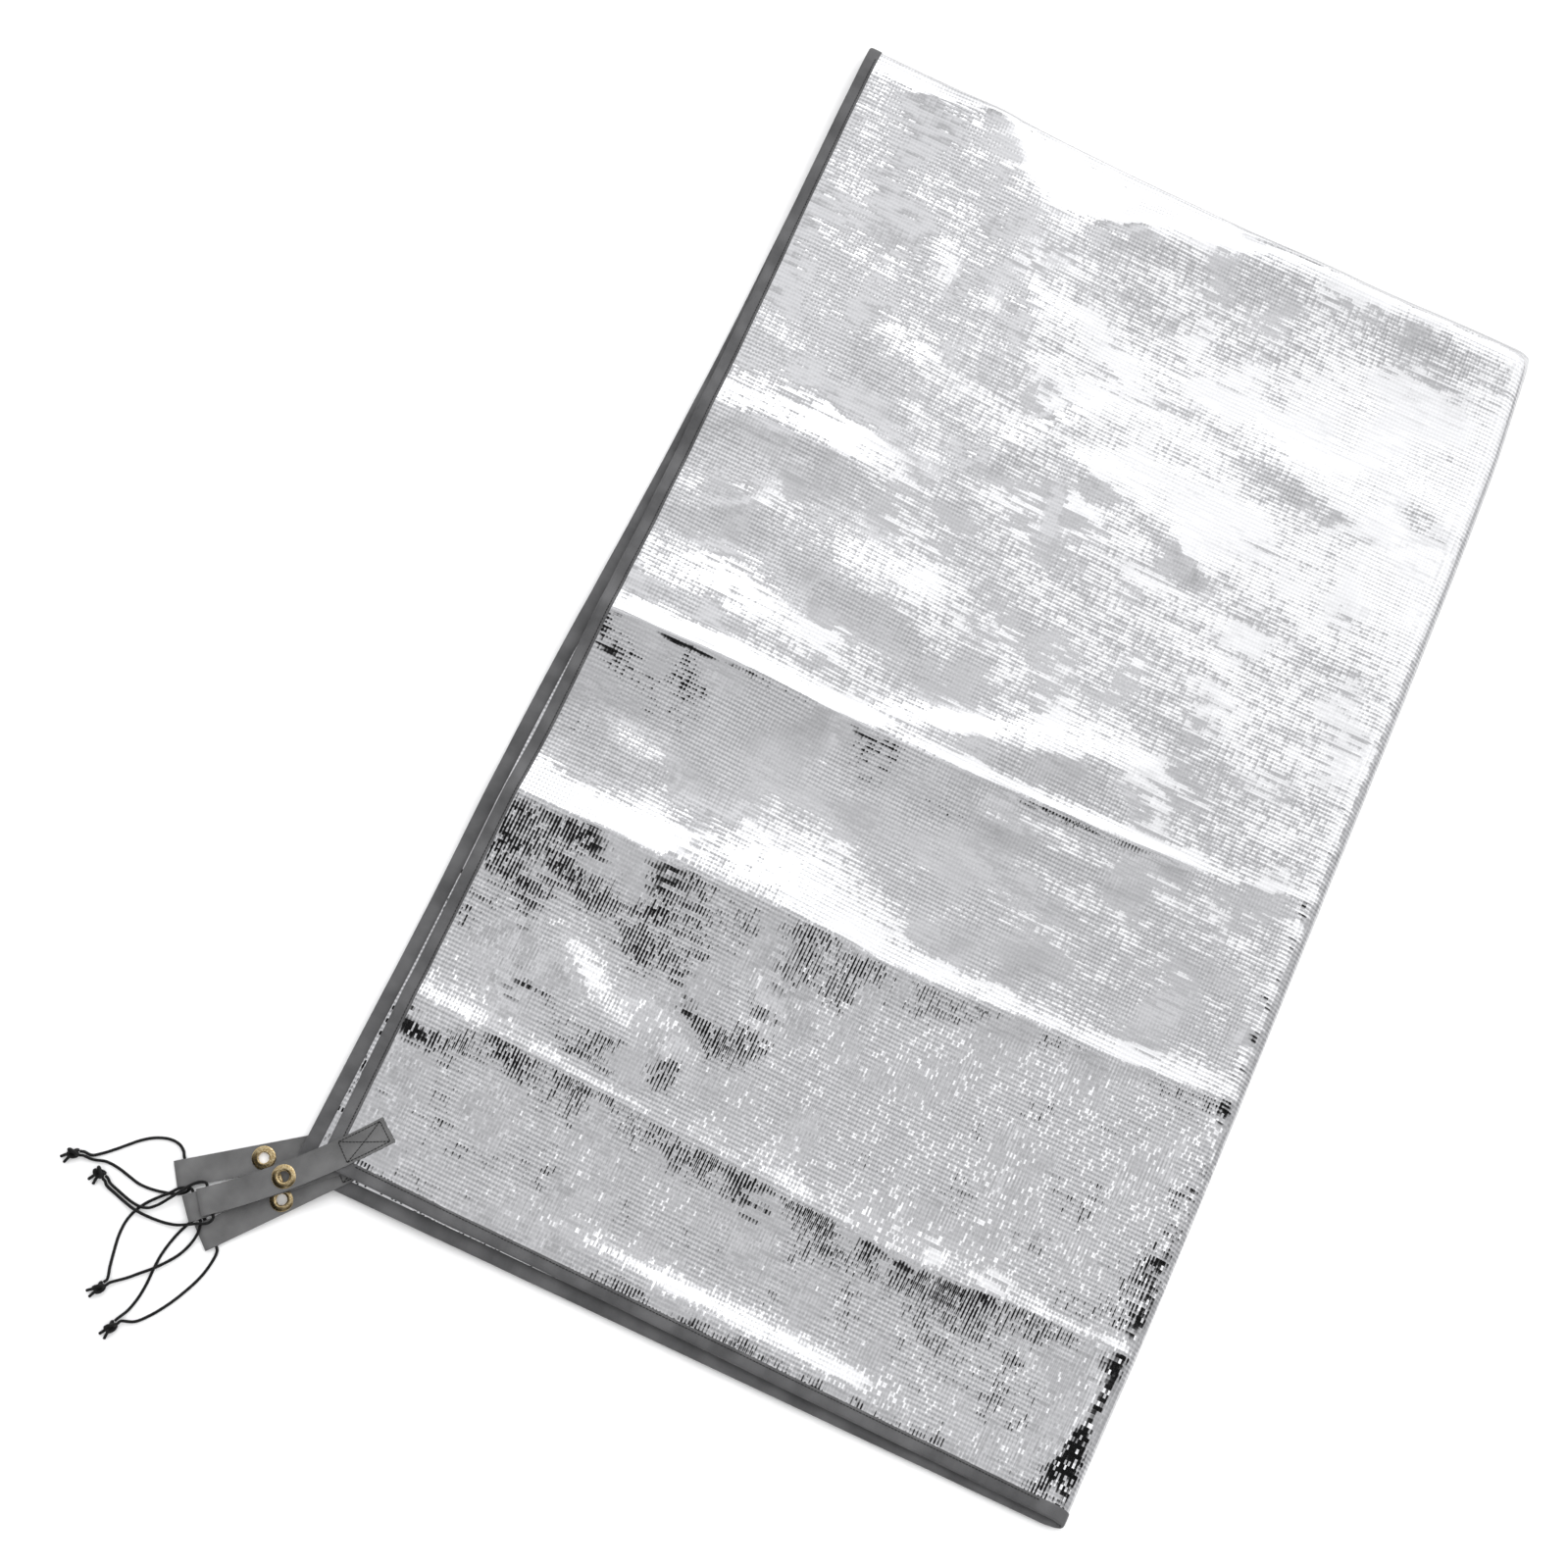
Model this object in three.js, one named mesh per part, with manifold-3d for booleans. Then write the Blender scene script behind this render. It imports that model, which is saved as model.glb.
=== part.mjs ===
// A foil camping mat of aluminised woven polyethylene, bound with grey tape and folded in quarters,
// with a webbing tab, a brass eyelet and a knotted elastic cord at each corner.
// Millimetres, +Z up. X runs from the open long edges to the side fold, Y from the open short edges
// to the end fold. The origin is on the underside, at the middle of the folded mat.
import * as THREE from "three";
import { mergeVertices } from "three/addons/utils/BufferGeometryUtils.js";
import Module from "manifold-3d";

const wasm = await Module();
wasm.setup();

// Driving dimensions: the open mat, its cloth and its folds
const OPEN_WIDTH = 1200;
const OPEN_LENGTH = 2000;
const SHEET = 1;
const LAYER_PITCH = 3.2;
const SIDE_FOLD_BOW = 14;
const END_FOLD_BOW = 6;
const CLEARANCE = 0.3;
const SEAT = 0.4;
const FLOOR_GAP = 0.1;

// Driving dimensions: the binding tape, folded over the edges
const TAPE_WIDTH = 10.2;
const TAPE = 0.5;

// Driving dimensions: webbing tabs, folded double round their cords, and their eyelets
const TAB_WIDTH = 20;
const TAB_LENGTH = 150;
const PLY = 0.7;
const PLY_GAP = 0.3;
const CORD_AT = 8;
const EYELET_AT = 64;
const EYELET_BORE = 8;
const EYELET_RIM = 17.5;
const EYELET_FLANGE = 0.9;
const EYELET_WALL = 0.6;
const EYELET_SIDES = 16;

// Driving dimensions: elastic cord and its knots
const CORD = 2;
const CORD_SIDES = 8;
const CORD_STEP = 6;
const KNOT_LENGTH = 9;
const KNOT_WIDTH = 8.4;
const KNOT_TAIL = 9;
const KNOT_LEAD = 3;
const KNOT_SIDES = 10;

// What follows from them
const HALF_WIDTH = OPEN_WIDTH / 2;
const HALF_LENGTH = OPEN_LENGTH / 2;
const SIDE_TURN = 16;
const END_TURN = 7;
const TAPE_HALF = SHEET / 2 + CLEARANCE + TAPE;
const TAPE_OVERHANG = CLEARANCE + TAPE;
const MIDDLE_HEIGHT = TAPE_HALF + 1.5 * LAYER_PITCH;
const TAB_HALF = PLY + PLY_GAP / 2;
const EYELET_HALF = TAB_HALF + CLEARANCE + EYELET_FLANGE;

// Heights at the tab corner, from the floor up: tab 1, layers 1 and 2, tabs 2 and 3, layers 3 and 4, tab 4
const TAB_1 = EYELET_HALF + FLOOR_GAP;
const LAYER_1 = TAB_1 + TAB_HALF + SEAT + TAPE_HALF;
const LAYER_2 = LAYER_1 + LAYER_PITCH;
const TAB_2 = LAYER_2 + TAPE_HALF + SEAT + TAB_HALF;
const TAB_3 = TAB_2 + 2 * TAB_HALF + SEAT;
const LAYER_3 = TAB_3 + TAB_HALF + SEAT + TAPE_HALF;
const LAYER_4 = LAYER_3 + LAYER_PITCH;
const TAB_4 = LAYER_4 + TAPE_HALF + SEAT + TAB_HALF;
const LOWER_LIFT = LAYER_1 - TAPE_HALF;
const UPPER_LIFT = LAYER_3 - TAPE_HALF - 2 * LAYER_PITCH;

// Distances from the open edges: the cloth is lifted whole as far as LIFT_FLAT where it lies on the tabs, and
// comes down by LIFT_END; beyond the thick tape it settles from SETTLE_START to SETTLE_END
const LIFT_FLAT = 68;
const LIFT_END = 228;
const SETTLE_START = 14;
const SETTLE_END = 60;

// Outline of the folded mat. The open long edges and the side fold are given at shares of the way from
// the free end to the end fold, the free ends and the end fold at shares from the open edge to the side fold.
const LONG_EDGES = [
  { share: 0, upper: -299, lower: -316 },
  { share: 0.22, upper: -300.5, lower: -313 },
  { share: 0.37, upper: -298.7, lower: -312.5 },
  { share: 0.52, upper: -297.7, lower: -307.4 },
  { share: 0.7, upper: -298.8, lower: -303 },
  { share: 0.9, upper: -302.5, lower: -302.5 },
  { share: 1, upper: -303, lower: -301 },
];
const SIDE_FOLD = [
  { share: 0, upper: 301, lower: 301 },
  { share: 0.17, upper: 306.5, lower: 306.5 },
  { share: 0.5, upper: 309, lower: 309 },
  { share: 0.7, upper: 310, lower: 310 },
  { share: 0.9, upper: 308.5, lower: 308.5 },
  { share: 1, upper: 301, lower: 301 },
];
const FREE_ENDS = [
  { share: 0, upper: -497, lower: -510.5 },
  { share: 1, upper: -506, lower: -512 },
];
const END_FOLD = [
  { share: 0, upper: 503, lower: 500 },
  { share: 0.17, upper: 502.5, lower: 499 },
  { share: 0.45, upper: 498, lower: 495 },
  { share: 0.73, upper: 497.5, lower: 494 },
  { share: 1, upper: 501, lower: 498 },
];

// Ridges left by the packed folds, as distances from the end fold, and how high each stands
const CREASES = [
  { at: 155, rise: 1.5 },
  { at: 338, rise: 2 },
  { at: 520, rise: 3.5 },
  { at: 683, rise: 3.5 },
  { at: 870, rise: 3 },
];
const CREASE_REACH = 35;
const CREASE_SHOULDER = 26;

// Stations of the cloth: those near the open edges as distances from them, the others as distances from
// the side fold in the upper and lower half, or from the end fold midway between the ridges
const EDGE_STATIONS = [0, SETTLE_START, LIFT_FLAT, (LIFT_FLAT + LIFT_END) / 2, LIFT_END];
const END_STATIONS = [0, SETTLE_START, LIFT_FLAT];
const UPPER_STATIONS = [290, 210, 130, 60];
const LOWER_STATIONS = [240, 110];
const PANEL_MIDDLES = [80, 247, 429, 602, 777];
const TURN_SHARES = [1, 0.75, 0.5, 0.25, 0];

// Webbing tabs: where each folded end lies, the heading from there to the sewn root in degrees, the turn
// on the way, and the height of its middle at the cord, eyelet, mat edge and root, which may sag a little
const SAG = 0.4;
const TABS = [
  { x: -390.7, y: -548.8, heading: 35.5, turn: 0, cord: TAB_1, eyelet: TAB_1, edge: TAB_1, root: TAB_1 },
  { x: -353.7, y: -581.8, heading: 50.1, turn: 0, cord: TAB_1, eyelet: 6, edge: TAB_2, root: TAB_2 - SAG },
  { x: -372.3, y: -567.4, heading: 42, turn: 0, cord: 5.6, eyelet: 11, edge: TAB_3, root: TAB_3 },
  { x: -365.1, y: -559.1, heading: 38, turn: 16, cord: 9.8, eyelet: 18.2, edge: TAB_4, root: TAB_4 - SAG },
];
const TAB_STATIONS = [
  { at: 16, height: "cord" },
  { at: EYELET_AT - 10, height: "eyelet" },
  { at: EYELET_AT + 10, height: "eyelet" },
  { at: 84, height: "edge" },
  { at: 118, height: "edge" },
  { at: TAB_LENGTH, height: "root" },
];
const TAB_LOOP = [
  { at: 1.5, half: 1.2 },
  { at: 4, half: 1.95 },
  { at: CORD_AT, half: 2.15 },
  { at: 12, half: 1.6 },
];

// Elastic cords: each knot with its heading away from its strands and the heading of its cut tails, and
// the two strands, from the knot to the left side of the tab's folded end and from its right side back
const CORDS = [
  {
    knot: { x: -464, y: -565, heading: 200, tails: 235 },
    left: [
      [-451.5, -561.2, 1.8], [-445, -556.6, 1.2], [-438.3, -550.5, 1.2], [-432, -544.2, 1.2],
      [-425.9, -538.2, 1.2], [-419.5, -533.2, 1.2], [-412.5, -529.6, 1.2], [-405, -527.7, 1.2],
      [-398, -528.4, 1.5], [-393.4, -531.3, 1.9],
    ],
    right: [
      [-377.4, -555.6, 1.9], [-380.6, -559, 1.5], [-386, -561.6, 1.2], [-393, -563.5, 1.2],
      [-401, -565, 1.2], [-411, -565.4, 1.2], [-421, -563.4, 1.2], [-430, -561.5, 1.2],
      [-440, -561, 1.2], [-449.5, -563.6, 1.9],
    ],
  },
  {
    knot: { x: -381.8, y: -662.4, heading: 246, tails: 250 },
    left: [
      [-376.6, -647.5, 1.7], [-374.2, -637, 1.2], [-373.4, -626, 1.2], [-373.8, -615, 1.2],
      [-373.6, -604, 1.2], [-371.8, -593, 1.2], [-368.8, -582.5, 1.2], [-364.6, -573.2, 1.3],
      [-360.8, -568.8, 1.7],
    ],
    right: [
      [-338.2, -586.6, 1.9], [-338.3, -592, 1.4], [-339.6, -601, 1.2], [-342.2, -610, 1.2],
      [-345.8, -618.6, 1.2], [-350, -627.4, 1.2], [-355, -636, 1.2], [-361, -644.6, 1.2],
      [-368.6, -652.6, 1.8],
    ],
  },
  {
    knot: { x: -402.2, y: -641.6, heading: 240, tails: 232 },
    left: [
      [-402.6, -625.4, 2], [-405.4, -614, 1.2], [-407.4, -603, 1.2], [-407.4, -592.6, 1.2],
      [-405, -583.6, 1.2], [-400.4, -575.4, 1.4], [-394.4, -568.4, 2.6], [-388.2, -562, 4.2],
      [-383.2, -556, 5.1], [-378.8, -553.6, 5.5],
    ],
    right: [
      [-357.2, -573.8, 5.6], [-356.4, -579.6, 5.4], [-357.8, -588, 3.6], [-361.6, -597.4, 2],
      [-367.2, -606, 2.8], [-373.8, -614, 3.7], [-380.6, -620.6, 2.8], [-388, -627.8, 1.7],
    ],
  },
  {
    knot: { x: -440.2, y: -569.6, heading: 160, tails: 250 },
    left: [
      [-430.4, -573, 3.4], [-421, -576.2, 1.7], [-411.4, -578.6, 2.4], [-403.4, -579.2, 3.7],
      [-397.4, -577.8, 3.7], [-391.6, -572.8, 4.9], [-386.2, -565.4, 6.9], [-380.4, -556.6, 8.3],
      [-375, -549, 9.2], [-370.2, -545, 9.6],
    ],
    right: [
      [-350.8, -566, 9.7], [-353, -569.6, 9.3], [-358.8, -572.4, 8.4], [-365.4, -576.2, 6.6],
      [-373, -580, 4.2], [-381.4, -582.2, 2.2], [-390.8, -583.2, 1.9], [-399, -583.2, 3.2],
      [-406, -582.6, 3.7], [-413.4, -581.2, 2.4], [-422.4, -578.8, 1.7], [-431.8, -575.6, 3.4],
    ],
  },
];

// Where the cut tails of a knot run: the share of their length, how far to each side, and how far down
const TAIL_ROUTE = [
  { out: 0, side: 0.6, drop: 0 },
  { out: 0.5, side: 1.4, drop: 0.4 },
  { out: 1, side: 2.4, drop: 2.4 },
];

const { lerp, clamp, degToRad, smoothstep } = THREE.MathUtils;

// The value of a table's column at a share of the way, carried straight between rows and past its ends
function tableAt(table, share, column) {
  const next = clamp(table.findIndex((row) => row.share >= share), 1, table.length - 1);
  const row = share > 1 ? table.at(-1) : table[next];
  const before = share > 1 ? table.at(-2) : table[next - 1];
  return lerp(before[column], row[column], (share - before.share) / (row.share - before.share));
}

// The same, between the lower half at 0 and the upper half at 1
function edgeAt(table, share, upper) {
  return lerp(tableAt(table, share, "lower"), tableAt(table, share, "upper"), upper);
}

// How far the packed folds lift the top layer at a distance from the end fold
function creaseRise(distance) {
  return CREASES.reduce(
    (sum, crease) => sum + crease.rise * Math.exp(-Math.abs(distance - crease.at) / CREASE_REACH),
    0,
  );
}

// A point of the folded cloth. across runs from the open edge of the lower half, below zero, round the
// side fold at zero to the open edge of the upper half; along runs from the free end of the outer layers,
// below zero, round the end fold at zero to the free end of the inner ones; off is the distance from
// the middle of the cloth towards its front face.
function clothPoint(across, along, off) {
  const turn = (clamp(across / SIDE_TURN, -1, 1) * Math.PI) / 2;
  const tuck = (clamp(along / END_TURN, -1, 1) * Math.PI) / 2;
  const fromOpenEdge = HALF_WIDTH - Math.max(Math.abs(across), SIDE_TURN);
  const fromFreeEnd = HALF_LENGTH - Math.max(Math.abs(along), END_TURN);
  const inset = fromOpenEdge / (HALF_WIDTH - SIDE_TURN);
  const climb = fromFreeEnd / (HALF_LENGTH - END_TURN);
  const upper = (1 + Math.sin(turn)) / 2;

  const left = edgeAt(LONG_EDGES, climb, upper);
  const right = edgeAt(SIDE_FOLD, climb, upper) - SIDE_FOLD_BOW;
  const near = edgeAt(FREE_ENDS, inset, upper);
  const far = edgeAt(END_FOLD, inset, upper) - END_FOLD_BOW;
  const middle = (-LAYER_PITCH / 2) * Math.sin(tuck);
  const raised = middle - off * Math.sin(tuck);

  const layerHeight = (LAYER_PITCH + middle) * Math.sin(turn);
  const layerShare = layerHeight / (3 * LAYER_PITCH) + 0.5;
  const lift =
    lerp(LOWER_LIFT, UPPER_LIFT, upper) *
    (1 - smoothstep(fromOpenEdge, LIFT_FLAT, LIFT_END)) *
    (1 - smoothstep(fromFreeEnd, LIFT_FLAT, LIFT_END));
  const settle =
    TAPE_OVERHANG *
    smoothstep(fromOpenEdge, SETTLE_START, SETTLE_END) *
    smoothstep(fromFreeEnd, SETTLE_START, SETTLE_END);
  return new THREE.Vector3(
    lerp(left, right, inset) + (SIDE_FOLD_BOW + raised) * Math.cos(turn),
    lerp(near, far, climb) + (END_FOLD_BOW + off) * Math.cos(tuck),
    MIDDLE_HEIGHT +
      (LAYER_PITCH + raised) * Math.sin(turn) +
      layerShare * creaseRise(Math.abs(along)) +
      lift -
      settle,
  );
}

// Stations across the cloth, from the open edge of the lower half to that of the upper half
function acrossStations() {
  const sideTurn = TURN_SHARES.map((share) => share * SIDE_TURN);
  const edge = EDGE_STATIONS.map((distance) => HALF_WIDTH - distance);
  const lower = [...edge, ...LOWER_STATIONS, ...sideTurn].map((distance) => -distance);
  const upper = [...edge, ...UPPER_STATIONS, ...sideTurn.slice(0, -1)].reverse();
  return [...lower, ...upper];
}

// Stations along the cloth, from the free end of the outer layers to that of the inner ones
function alongStations() {
  const descending = (a, b) => b - a;
  const endTurn = TURN_SHARES.map((share) => share * END_TURN);
  const ridges = CREASES.map((crease) => crease.at);
  const shoulders = ridges.flatMap((at) => [at - CREASE_SHOULDER, at + CREASE_SHOULDER]);
  const ends = END_STATIONS.map((distance) => HALF_LENGTH - distance);
  const coarse = [...ends, ...PANEL_MIDDLES, ...ridges];
  const outer = [...coarse, ...shoulders, ...endTurn].sort(descending).map((distance) => -distance);
  const inner = [...coarse, ...endTurn.slice(0, -1)].sort(descending).reverse();
  return [...outer, ...inner];
}

// A closed surface through sections of equal length, capped at both ends. outline is the section's flat
// form, counter-clockwise as seen from the last section, and caps are the triangles that fill it.
function loft(sections, outline, caps = THREE.ShapeUtils.triangulateShape(outline, [])) {
  const count = outline.length;
  const last = (sections.length - 1) * count;
  const index = [];
  for (let start = 0; start < last; start += count) {
    for (let i = 0; i < count; i++) {
      const a = start + i;
      const b = start + ((i + 1) % count);
      index.push(a, b, b + count, a, b + count, a + count);
    }
  }
  for (const [i, j, k] of caps) {
    index.push(k, j, i, last + i, last + j, last + k);
  }
  const geometry = new THREE.BufferGeometry().setFromPoints(sections.flat());
  geometry.setIndex(index);
  return geometry;
}

// The woven foil: its thin section from free end to free end, carried round the side fold
function foilGeometry() {
  const along = alongStations();
  const outline = [
    ...along.map((at) => new THREE.Vector2(at, -SHEET / 2)),
    ...along.toReversed().map((at) => new THREE.Vector2(at, SHEET / 2)),
  ];
  const sections = acrossStations()
    .reverse()
    .map((across) => outline.map((p) => clothPoint(across, p.x, p.y)));
  const top = outline.length - 1;
  const caps = along.slice(1).flatMap((_, i) => [
    [i, i + 1, top - i - 1],
    [i, top - i - 1, top - i],
  ]);
  return loft(sections, outline, caps);
}

// Section of the folded tape: x outwards from the edge of the cloth, y towards its front face
function tapeOutline() {
  const slot = SHEET / 2 + CLEARANCE;
  return [
    [-TAPE_WIDTH, -TAPE_HALF],
    [TAPE_OVERHANG, -TAPE_HALF],
    [TAPE_OVERHANG, TAPE_HALF],
    [-TAPE_WIDTH, TAPE_HALF],
    [-TAPE_WIDTH, slot],
    [CLEARANCE, slot],
    [CLEARANCE, -slot],
    [-TAPE_WIDTH, -slot],
  ].map(([x, y]) => new THREE.Vector2(x, y));
}

// Tape on a long edge, round the end fold. side is 1 on the upper half and -1 on the lower.
function longTapeGeometry(side) {
  const outline = tapeOutline();
  const run = alongStations().slice(1, -1);
  const tip = HALF_LENGTH + TAPE_OVERHANG;
  const along = [-tip, ...run, tip];
  const ordered = side > 0 ? along : along.toReversed();
  const sections = ordered.map((at) =>
    outline.map((p) => clothPoint(side * (HALF_WIDTH + p.x), at, p.y)),
  );
  return loft(sections, outline);
}

// Tape on a short edge, round the side fold, between the long tapes. side is -1 on the outer layers.
function shortTapeGeometry(side) {
  const outline = tapeOutline();
  const tip = HALF_WIDTH - TAPE_WIDTH - CLEARANCE;
  const run = acrossStations().filter((at) => Math.abs(at) < tip - SIDE_TURN);
  const across = [-tip, ...run, tip];
  const ordered = side < 0 ? across : across.toReversed();
  const sections = ordered.map((at) =>
    outline.map((p) => clothPoint(at, side * (HALF_LENGTH + p.x), p.y)),
  );
  return loft(sections, outline);
}

// A place on a tab: at is the distance from its folded end, beside the distance to its left
function tabPoint(tab, at, beside, height) {
  const bend = degToRad(tab.turn) / TAB_LENGTH;
  const middleHeading = degToRad(tab.heading) + (bend * at) / 2;
  const heading = degToRad(tab.heading) + bend * at;
  return new THREE.Vector3(
    tab.x + at * Math.cos(middleHeading) - beside * Math.sin(heading),
    tab.y + at * Math.sin(middleHeading) + beside * Math.cos(heading),
    height,
  );
}

// Height of the middle of a tab at a distance from its folded end
function tabHeight(tab, at) {
  const next = TAB_STATIONS.findIndex((station) => station.at >= at);
  if (next < 1) {
    return tab.cord;
  }
  const [before, after] = [TAB_STATIONS[next - 1], TAB_STATIONS[next]];
  const share = (at - before.at) / (after.at - before.at);
  return lerp(tab[before.height], tab[after.height], share);
}

// Webbing folded double: two plies that open into a loop for the cord at the folded end
function tabGeometry(tab) {
  const flat = TAB_STATIONS.map((station) => ({ at: station.at, half: TAB_HALF }));
  const outer = [...TAB_LOOP, ...flat];
  const inner = outer.slice(1).map(({ at, half }) => ({ at, half: half - PLY }));
  const trace = (rows, side) =>
    rows.map(({ at, half }) => new THREE.Vector2(at, tabHeight(tab, at) + side * half));
  const outline = [
    ...trace(outer, 1).reverse(),
    new THREE.Vector2(0, tab.cord),
    ...trace(outer, -1),
    ...trace(inner, -1).reverse(),
    new THREE.Vector2(2 * PLY, tab.cord),
    ...trace(inner, 1),
  ];
  const sections = [TAB_WIDTH / 2, -TAB_WIDTH / 2].map((beside) =>
    outline.map((p) => tabPoint(tab, p.x, beside, p.y)),
  );
  const hole = new THREE.CylinderGeometry(1, 1, TAB_WIDTH, EYELET_SIDES);
  const holeRadius = EYELET_BORE / 2 + EYELET_WALL + CLEARANCE;
  const place = tabPoint(tab, EYELET_AT, 0, tab.eyelet);
  hole.rotateX(Math.PI / 2).scale(holeRadius, holeRadius, 1).translate(...place);
  return geometryOf(solidOf(loft(sections, outline)).subtract(solidOf(hole)));
}

// A brass eyelet: a barrel through the tab, rolled out into a flange on each face
function eyeletGeometry(tab) {
  const bore = EYELET_BORE / 2;
  const barrel = bore + EYELET_WALL;
  const rim = EYELET_RIM / 2;
  const face = TAB_HALF + CLEARANCE;
  const upperFlange = [
    [barrel, face],
    [rim, face],
    [rim, face + 0.3 * EYELET_FLANGE],
    [0.85 * rim, EYELET_HALF],
    [1.1 * barrel, EYELET_HALF],
    [bore, EYELET_HALF - 0.4 * EYELET_FLANGE],
  ];
  const lowerFlange = upperFlange.toReversed().map(([radius, height]) => [radius, -height]);
  const profile = [...lowerFlange, ...upperFlange, lowerFlange[0]];
  const points = profile.map(([radius, height]) => new THREE.Vector2(radius, height));
  return new THREE.LatheGeometry(points, EYELET_SIDES)
    .rotateX(Math.PI / 2)
    .translate(...tabPoint(tab, EYELET_AT, 0, tab.eyelet));
}

// A place near a knot: out from its middle along a heading in degrees, and beside that line to the left
function knotPoint(knot, degrees, out, beside, height) {
  const heading = degToRad(degrees);
  return new THREE.Vector3(
    knot.x + out * Math.cos(heading) - beside * Math.sin(heading),
    knot.y + out * Math.sin(heading) + beside * Math.cos(heading),
    height,
  );
}

// A round bar along a curve
function barGeometry(points, width, sides, step) {
  const curve = new THREE.CatmullRomCurve3(points, false, "centripetal");
  const section = new THREE.Shape(
    Array.from({ length: sides }, (_, i) => {
      const angle = (2 * Math.PI * i) / sides;
      return new THREE.Vector2(Math.cos(angle), Math.sin(angle)).multiplyScalar(width / 2);
    }),
  );
  const steps = Math.ceil(curve.getLength() / step);
  return new THREE.ExtrudeGeometry(section, { steps, extrudePath: curve });
}

// An elastic cord: from its knot, through the folded end of the tab and back to the knot
function cordGeometry({ knot, left, right }, tab) {
  const apart = CORD / 2 + CLEARANCE;
  const strandEnd = (side) =>
    [CLEARANCE, KNOT_LEAD].map((gap) =>
      knotPoint(knot, knot.heading, -KNOT_LENGTH / 2 - gap, side * apart, KNOT_WIDTH / 2),
    );
  const through = [1.25, 0.6, 0, -0.6, -1.25].map((share) =>
    tabPoint(tab, CORD_AT, (share * TAB_WIDTH) / 2, tab.cord),
  );
  return barGeometry(
    [
      ...strandEnd(-1),
      ...left.map((p) => new THREE.Vector3(...p)),
      ...through,
      ...right.map((p) => new THREE.Vector3(...p)),
      ...strandEnd(1).reverse(),
    ],
    CORD,
    CORD_SIDES,
    CORD_STEP,
  );
}

// An overhand knot: three pulled-down turns, and the two cut tails beyond them
function knotGeometry(knot) {
  const turns = [
    [0, -0.5],
    [0.62, -0.5],
    [0.86, -0.36],
    [0.74, -0.2],
    [1, 0],
    [0.74, 0.2],
    [0.86, 0.36],
    [0.5, 0.5],
    [0, 0.5],
  ].map(([radius, out]) => new THREE.Vector2((radius * KNOT_WIDTH) / 2, out * KNOT_LENGTH));
  const bead = new THREE.LatheGeometry(turns, KNOT_SIDES)
    .rotateZ(-Math.PI / 2)
    .rotateZ(degToRad(knot.heading))
    .translate(knot.x, knot.y, KNOT_WIDTH / 2);
  const tails = [1, -1].map((side) =>
    barGeometry(
      TAIL_ROUTE.map((row) =>
        knotPoint(knot, knot.tails, row.out * KNOT_TAIL, side * row.side, KNOT_WIDTH / 2 - row.drop),
      ),
      CORD,
      CORD_SIDES,
      CORD_STEP,
    ),
  );
  return geometryOf(tails.reduce((knotted, tail) => knotted.add(solidOf(tail)), solidOf(bead)));
}

// A closed geometry as a solid that can be joined and cut
function solidOf(geometry) {
  const bare = new THREE.BufferGeometry();
  bare.setAttribute("position", geometry.getAttribute("position"));
  bare.setIndex(geometry.index);
  const merged = mergeVertices(bare, 1e-3);
  const vertProperties = merged.getAttribute("position").array;
  const triVerts = new Uint32Array(merged.index.array);
  return new wasm.Manifold(new wasm.Mesh({ numProp: 3, vertProperties, triVerts }));
}

// A solid as a geometry
function geometryOf(solid) {
  const { vertProperties, triVerts } = solid.getMesh();
  const geometry = new THREE.BufferGeometry();
  geometry.setAttribute("position", new THREE.BufferAttribute(vertProperties, 3));
  geometry.setIndex(new THREE.BufferAttribute(triVerts, 1));
  return geometry;
}

const FOIL = new THREE.MeshStandardMaterial({ color: 0xd4d5d7, roughness: 0.18, metalness: 1 });
const GREY_TAPE = new THREE.MeshStandardMaterial({ color: 0x5f6062, roughness: 0.85, metalness: 0 });
const GREY_WEBBING = new THREE.MeshStandardMaterial({ color: 0x747577, roughness: 0.8, metalness: 0 });
const BRASS = new THREE.MeshStandardMaterial({ color: 0xb8924f, roughness: 0.28, metalness: 1 });
const BLACK_ELASTIC = new THREE.MeshStandardMaterial({ color: 0x17171a, roughness: 0.75, metalness: 0 });

const group = new THREE.Group();

function addPart(name, geometry, material) {
  geometry.computeVertexNormals();
  const mesh = new THREE.Mesh(geometry, material);
  mesh.name = name;
  group.add(mesh);
}

addPart("foil_sheet", foilGeometry(), FOIL);
addPart("long_binding_upper", longTapeGeometry(1), GREY_TAPE);
addPart("long_binding_lower", longTapeGeometry(-1), GREY_TAPE);
addPart("short_binding_outer", shortTapeGeometry(-1), GREY_TAPE);
addPart("short_binding_inner", shortTapeGeometry(1), GREY_TAPE);
TABS.forEach((tab, i) => {
  const number = i + 1;
  addPart(`corner_tab_${number}`, tabGeometry(tab), GREY_WEBBING);
  addPart(`eyelet_${number}`, eyeletGeometry(tab), BRASS);
  addPart(`elastic_cord_${number}`, cordGeometry(CORDS[i], tab), BLACK_ELASTIC);
  addPart(`cord_knot_${number}`, knotGeometry(CORDS[i].knot), BLACK_ELASTIC);
});

export default group;
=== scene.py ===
"""A foil camping mat folded in quarters: a woven, metallised sheet with taped edges, and at each corner a
webbing tab with a brass eyelet and a knotted elastic cord. Sizes are in millimetres until a mesh is made."""
import math

import bpy
from mathutils import Matrix, Vector, noise


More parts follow.
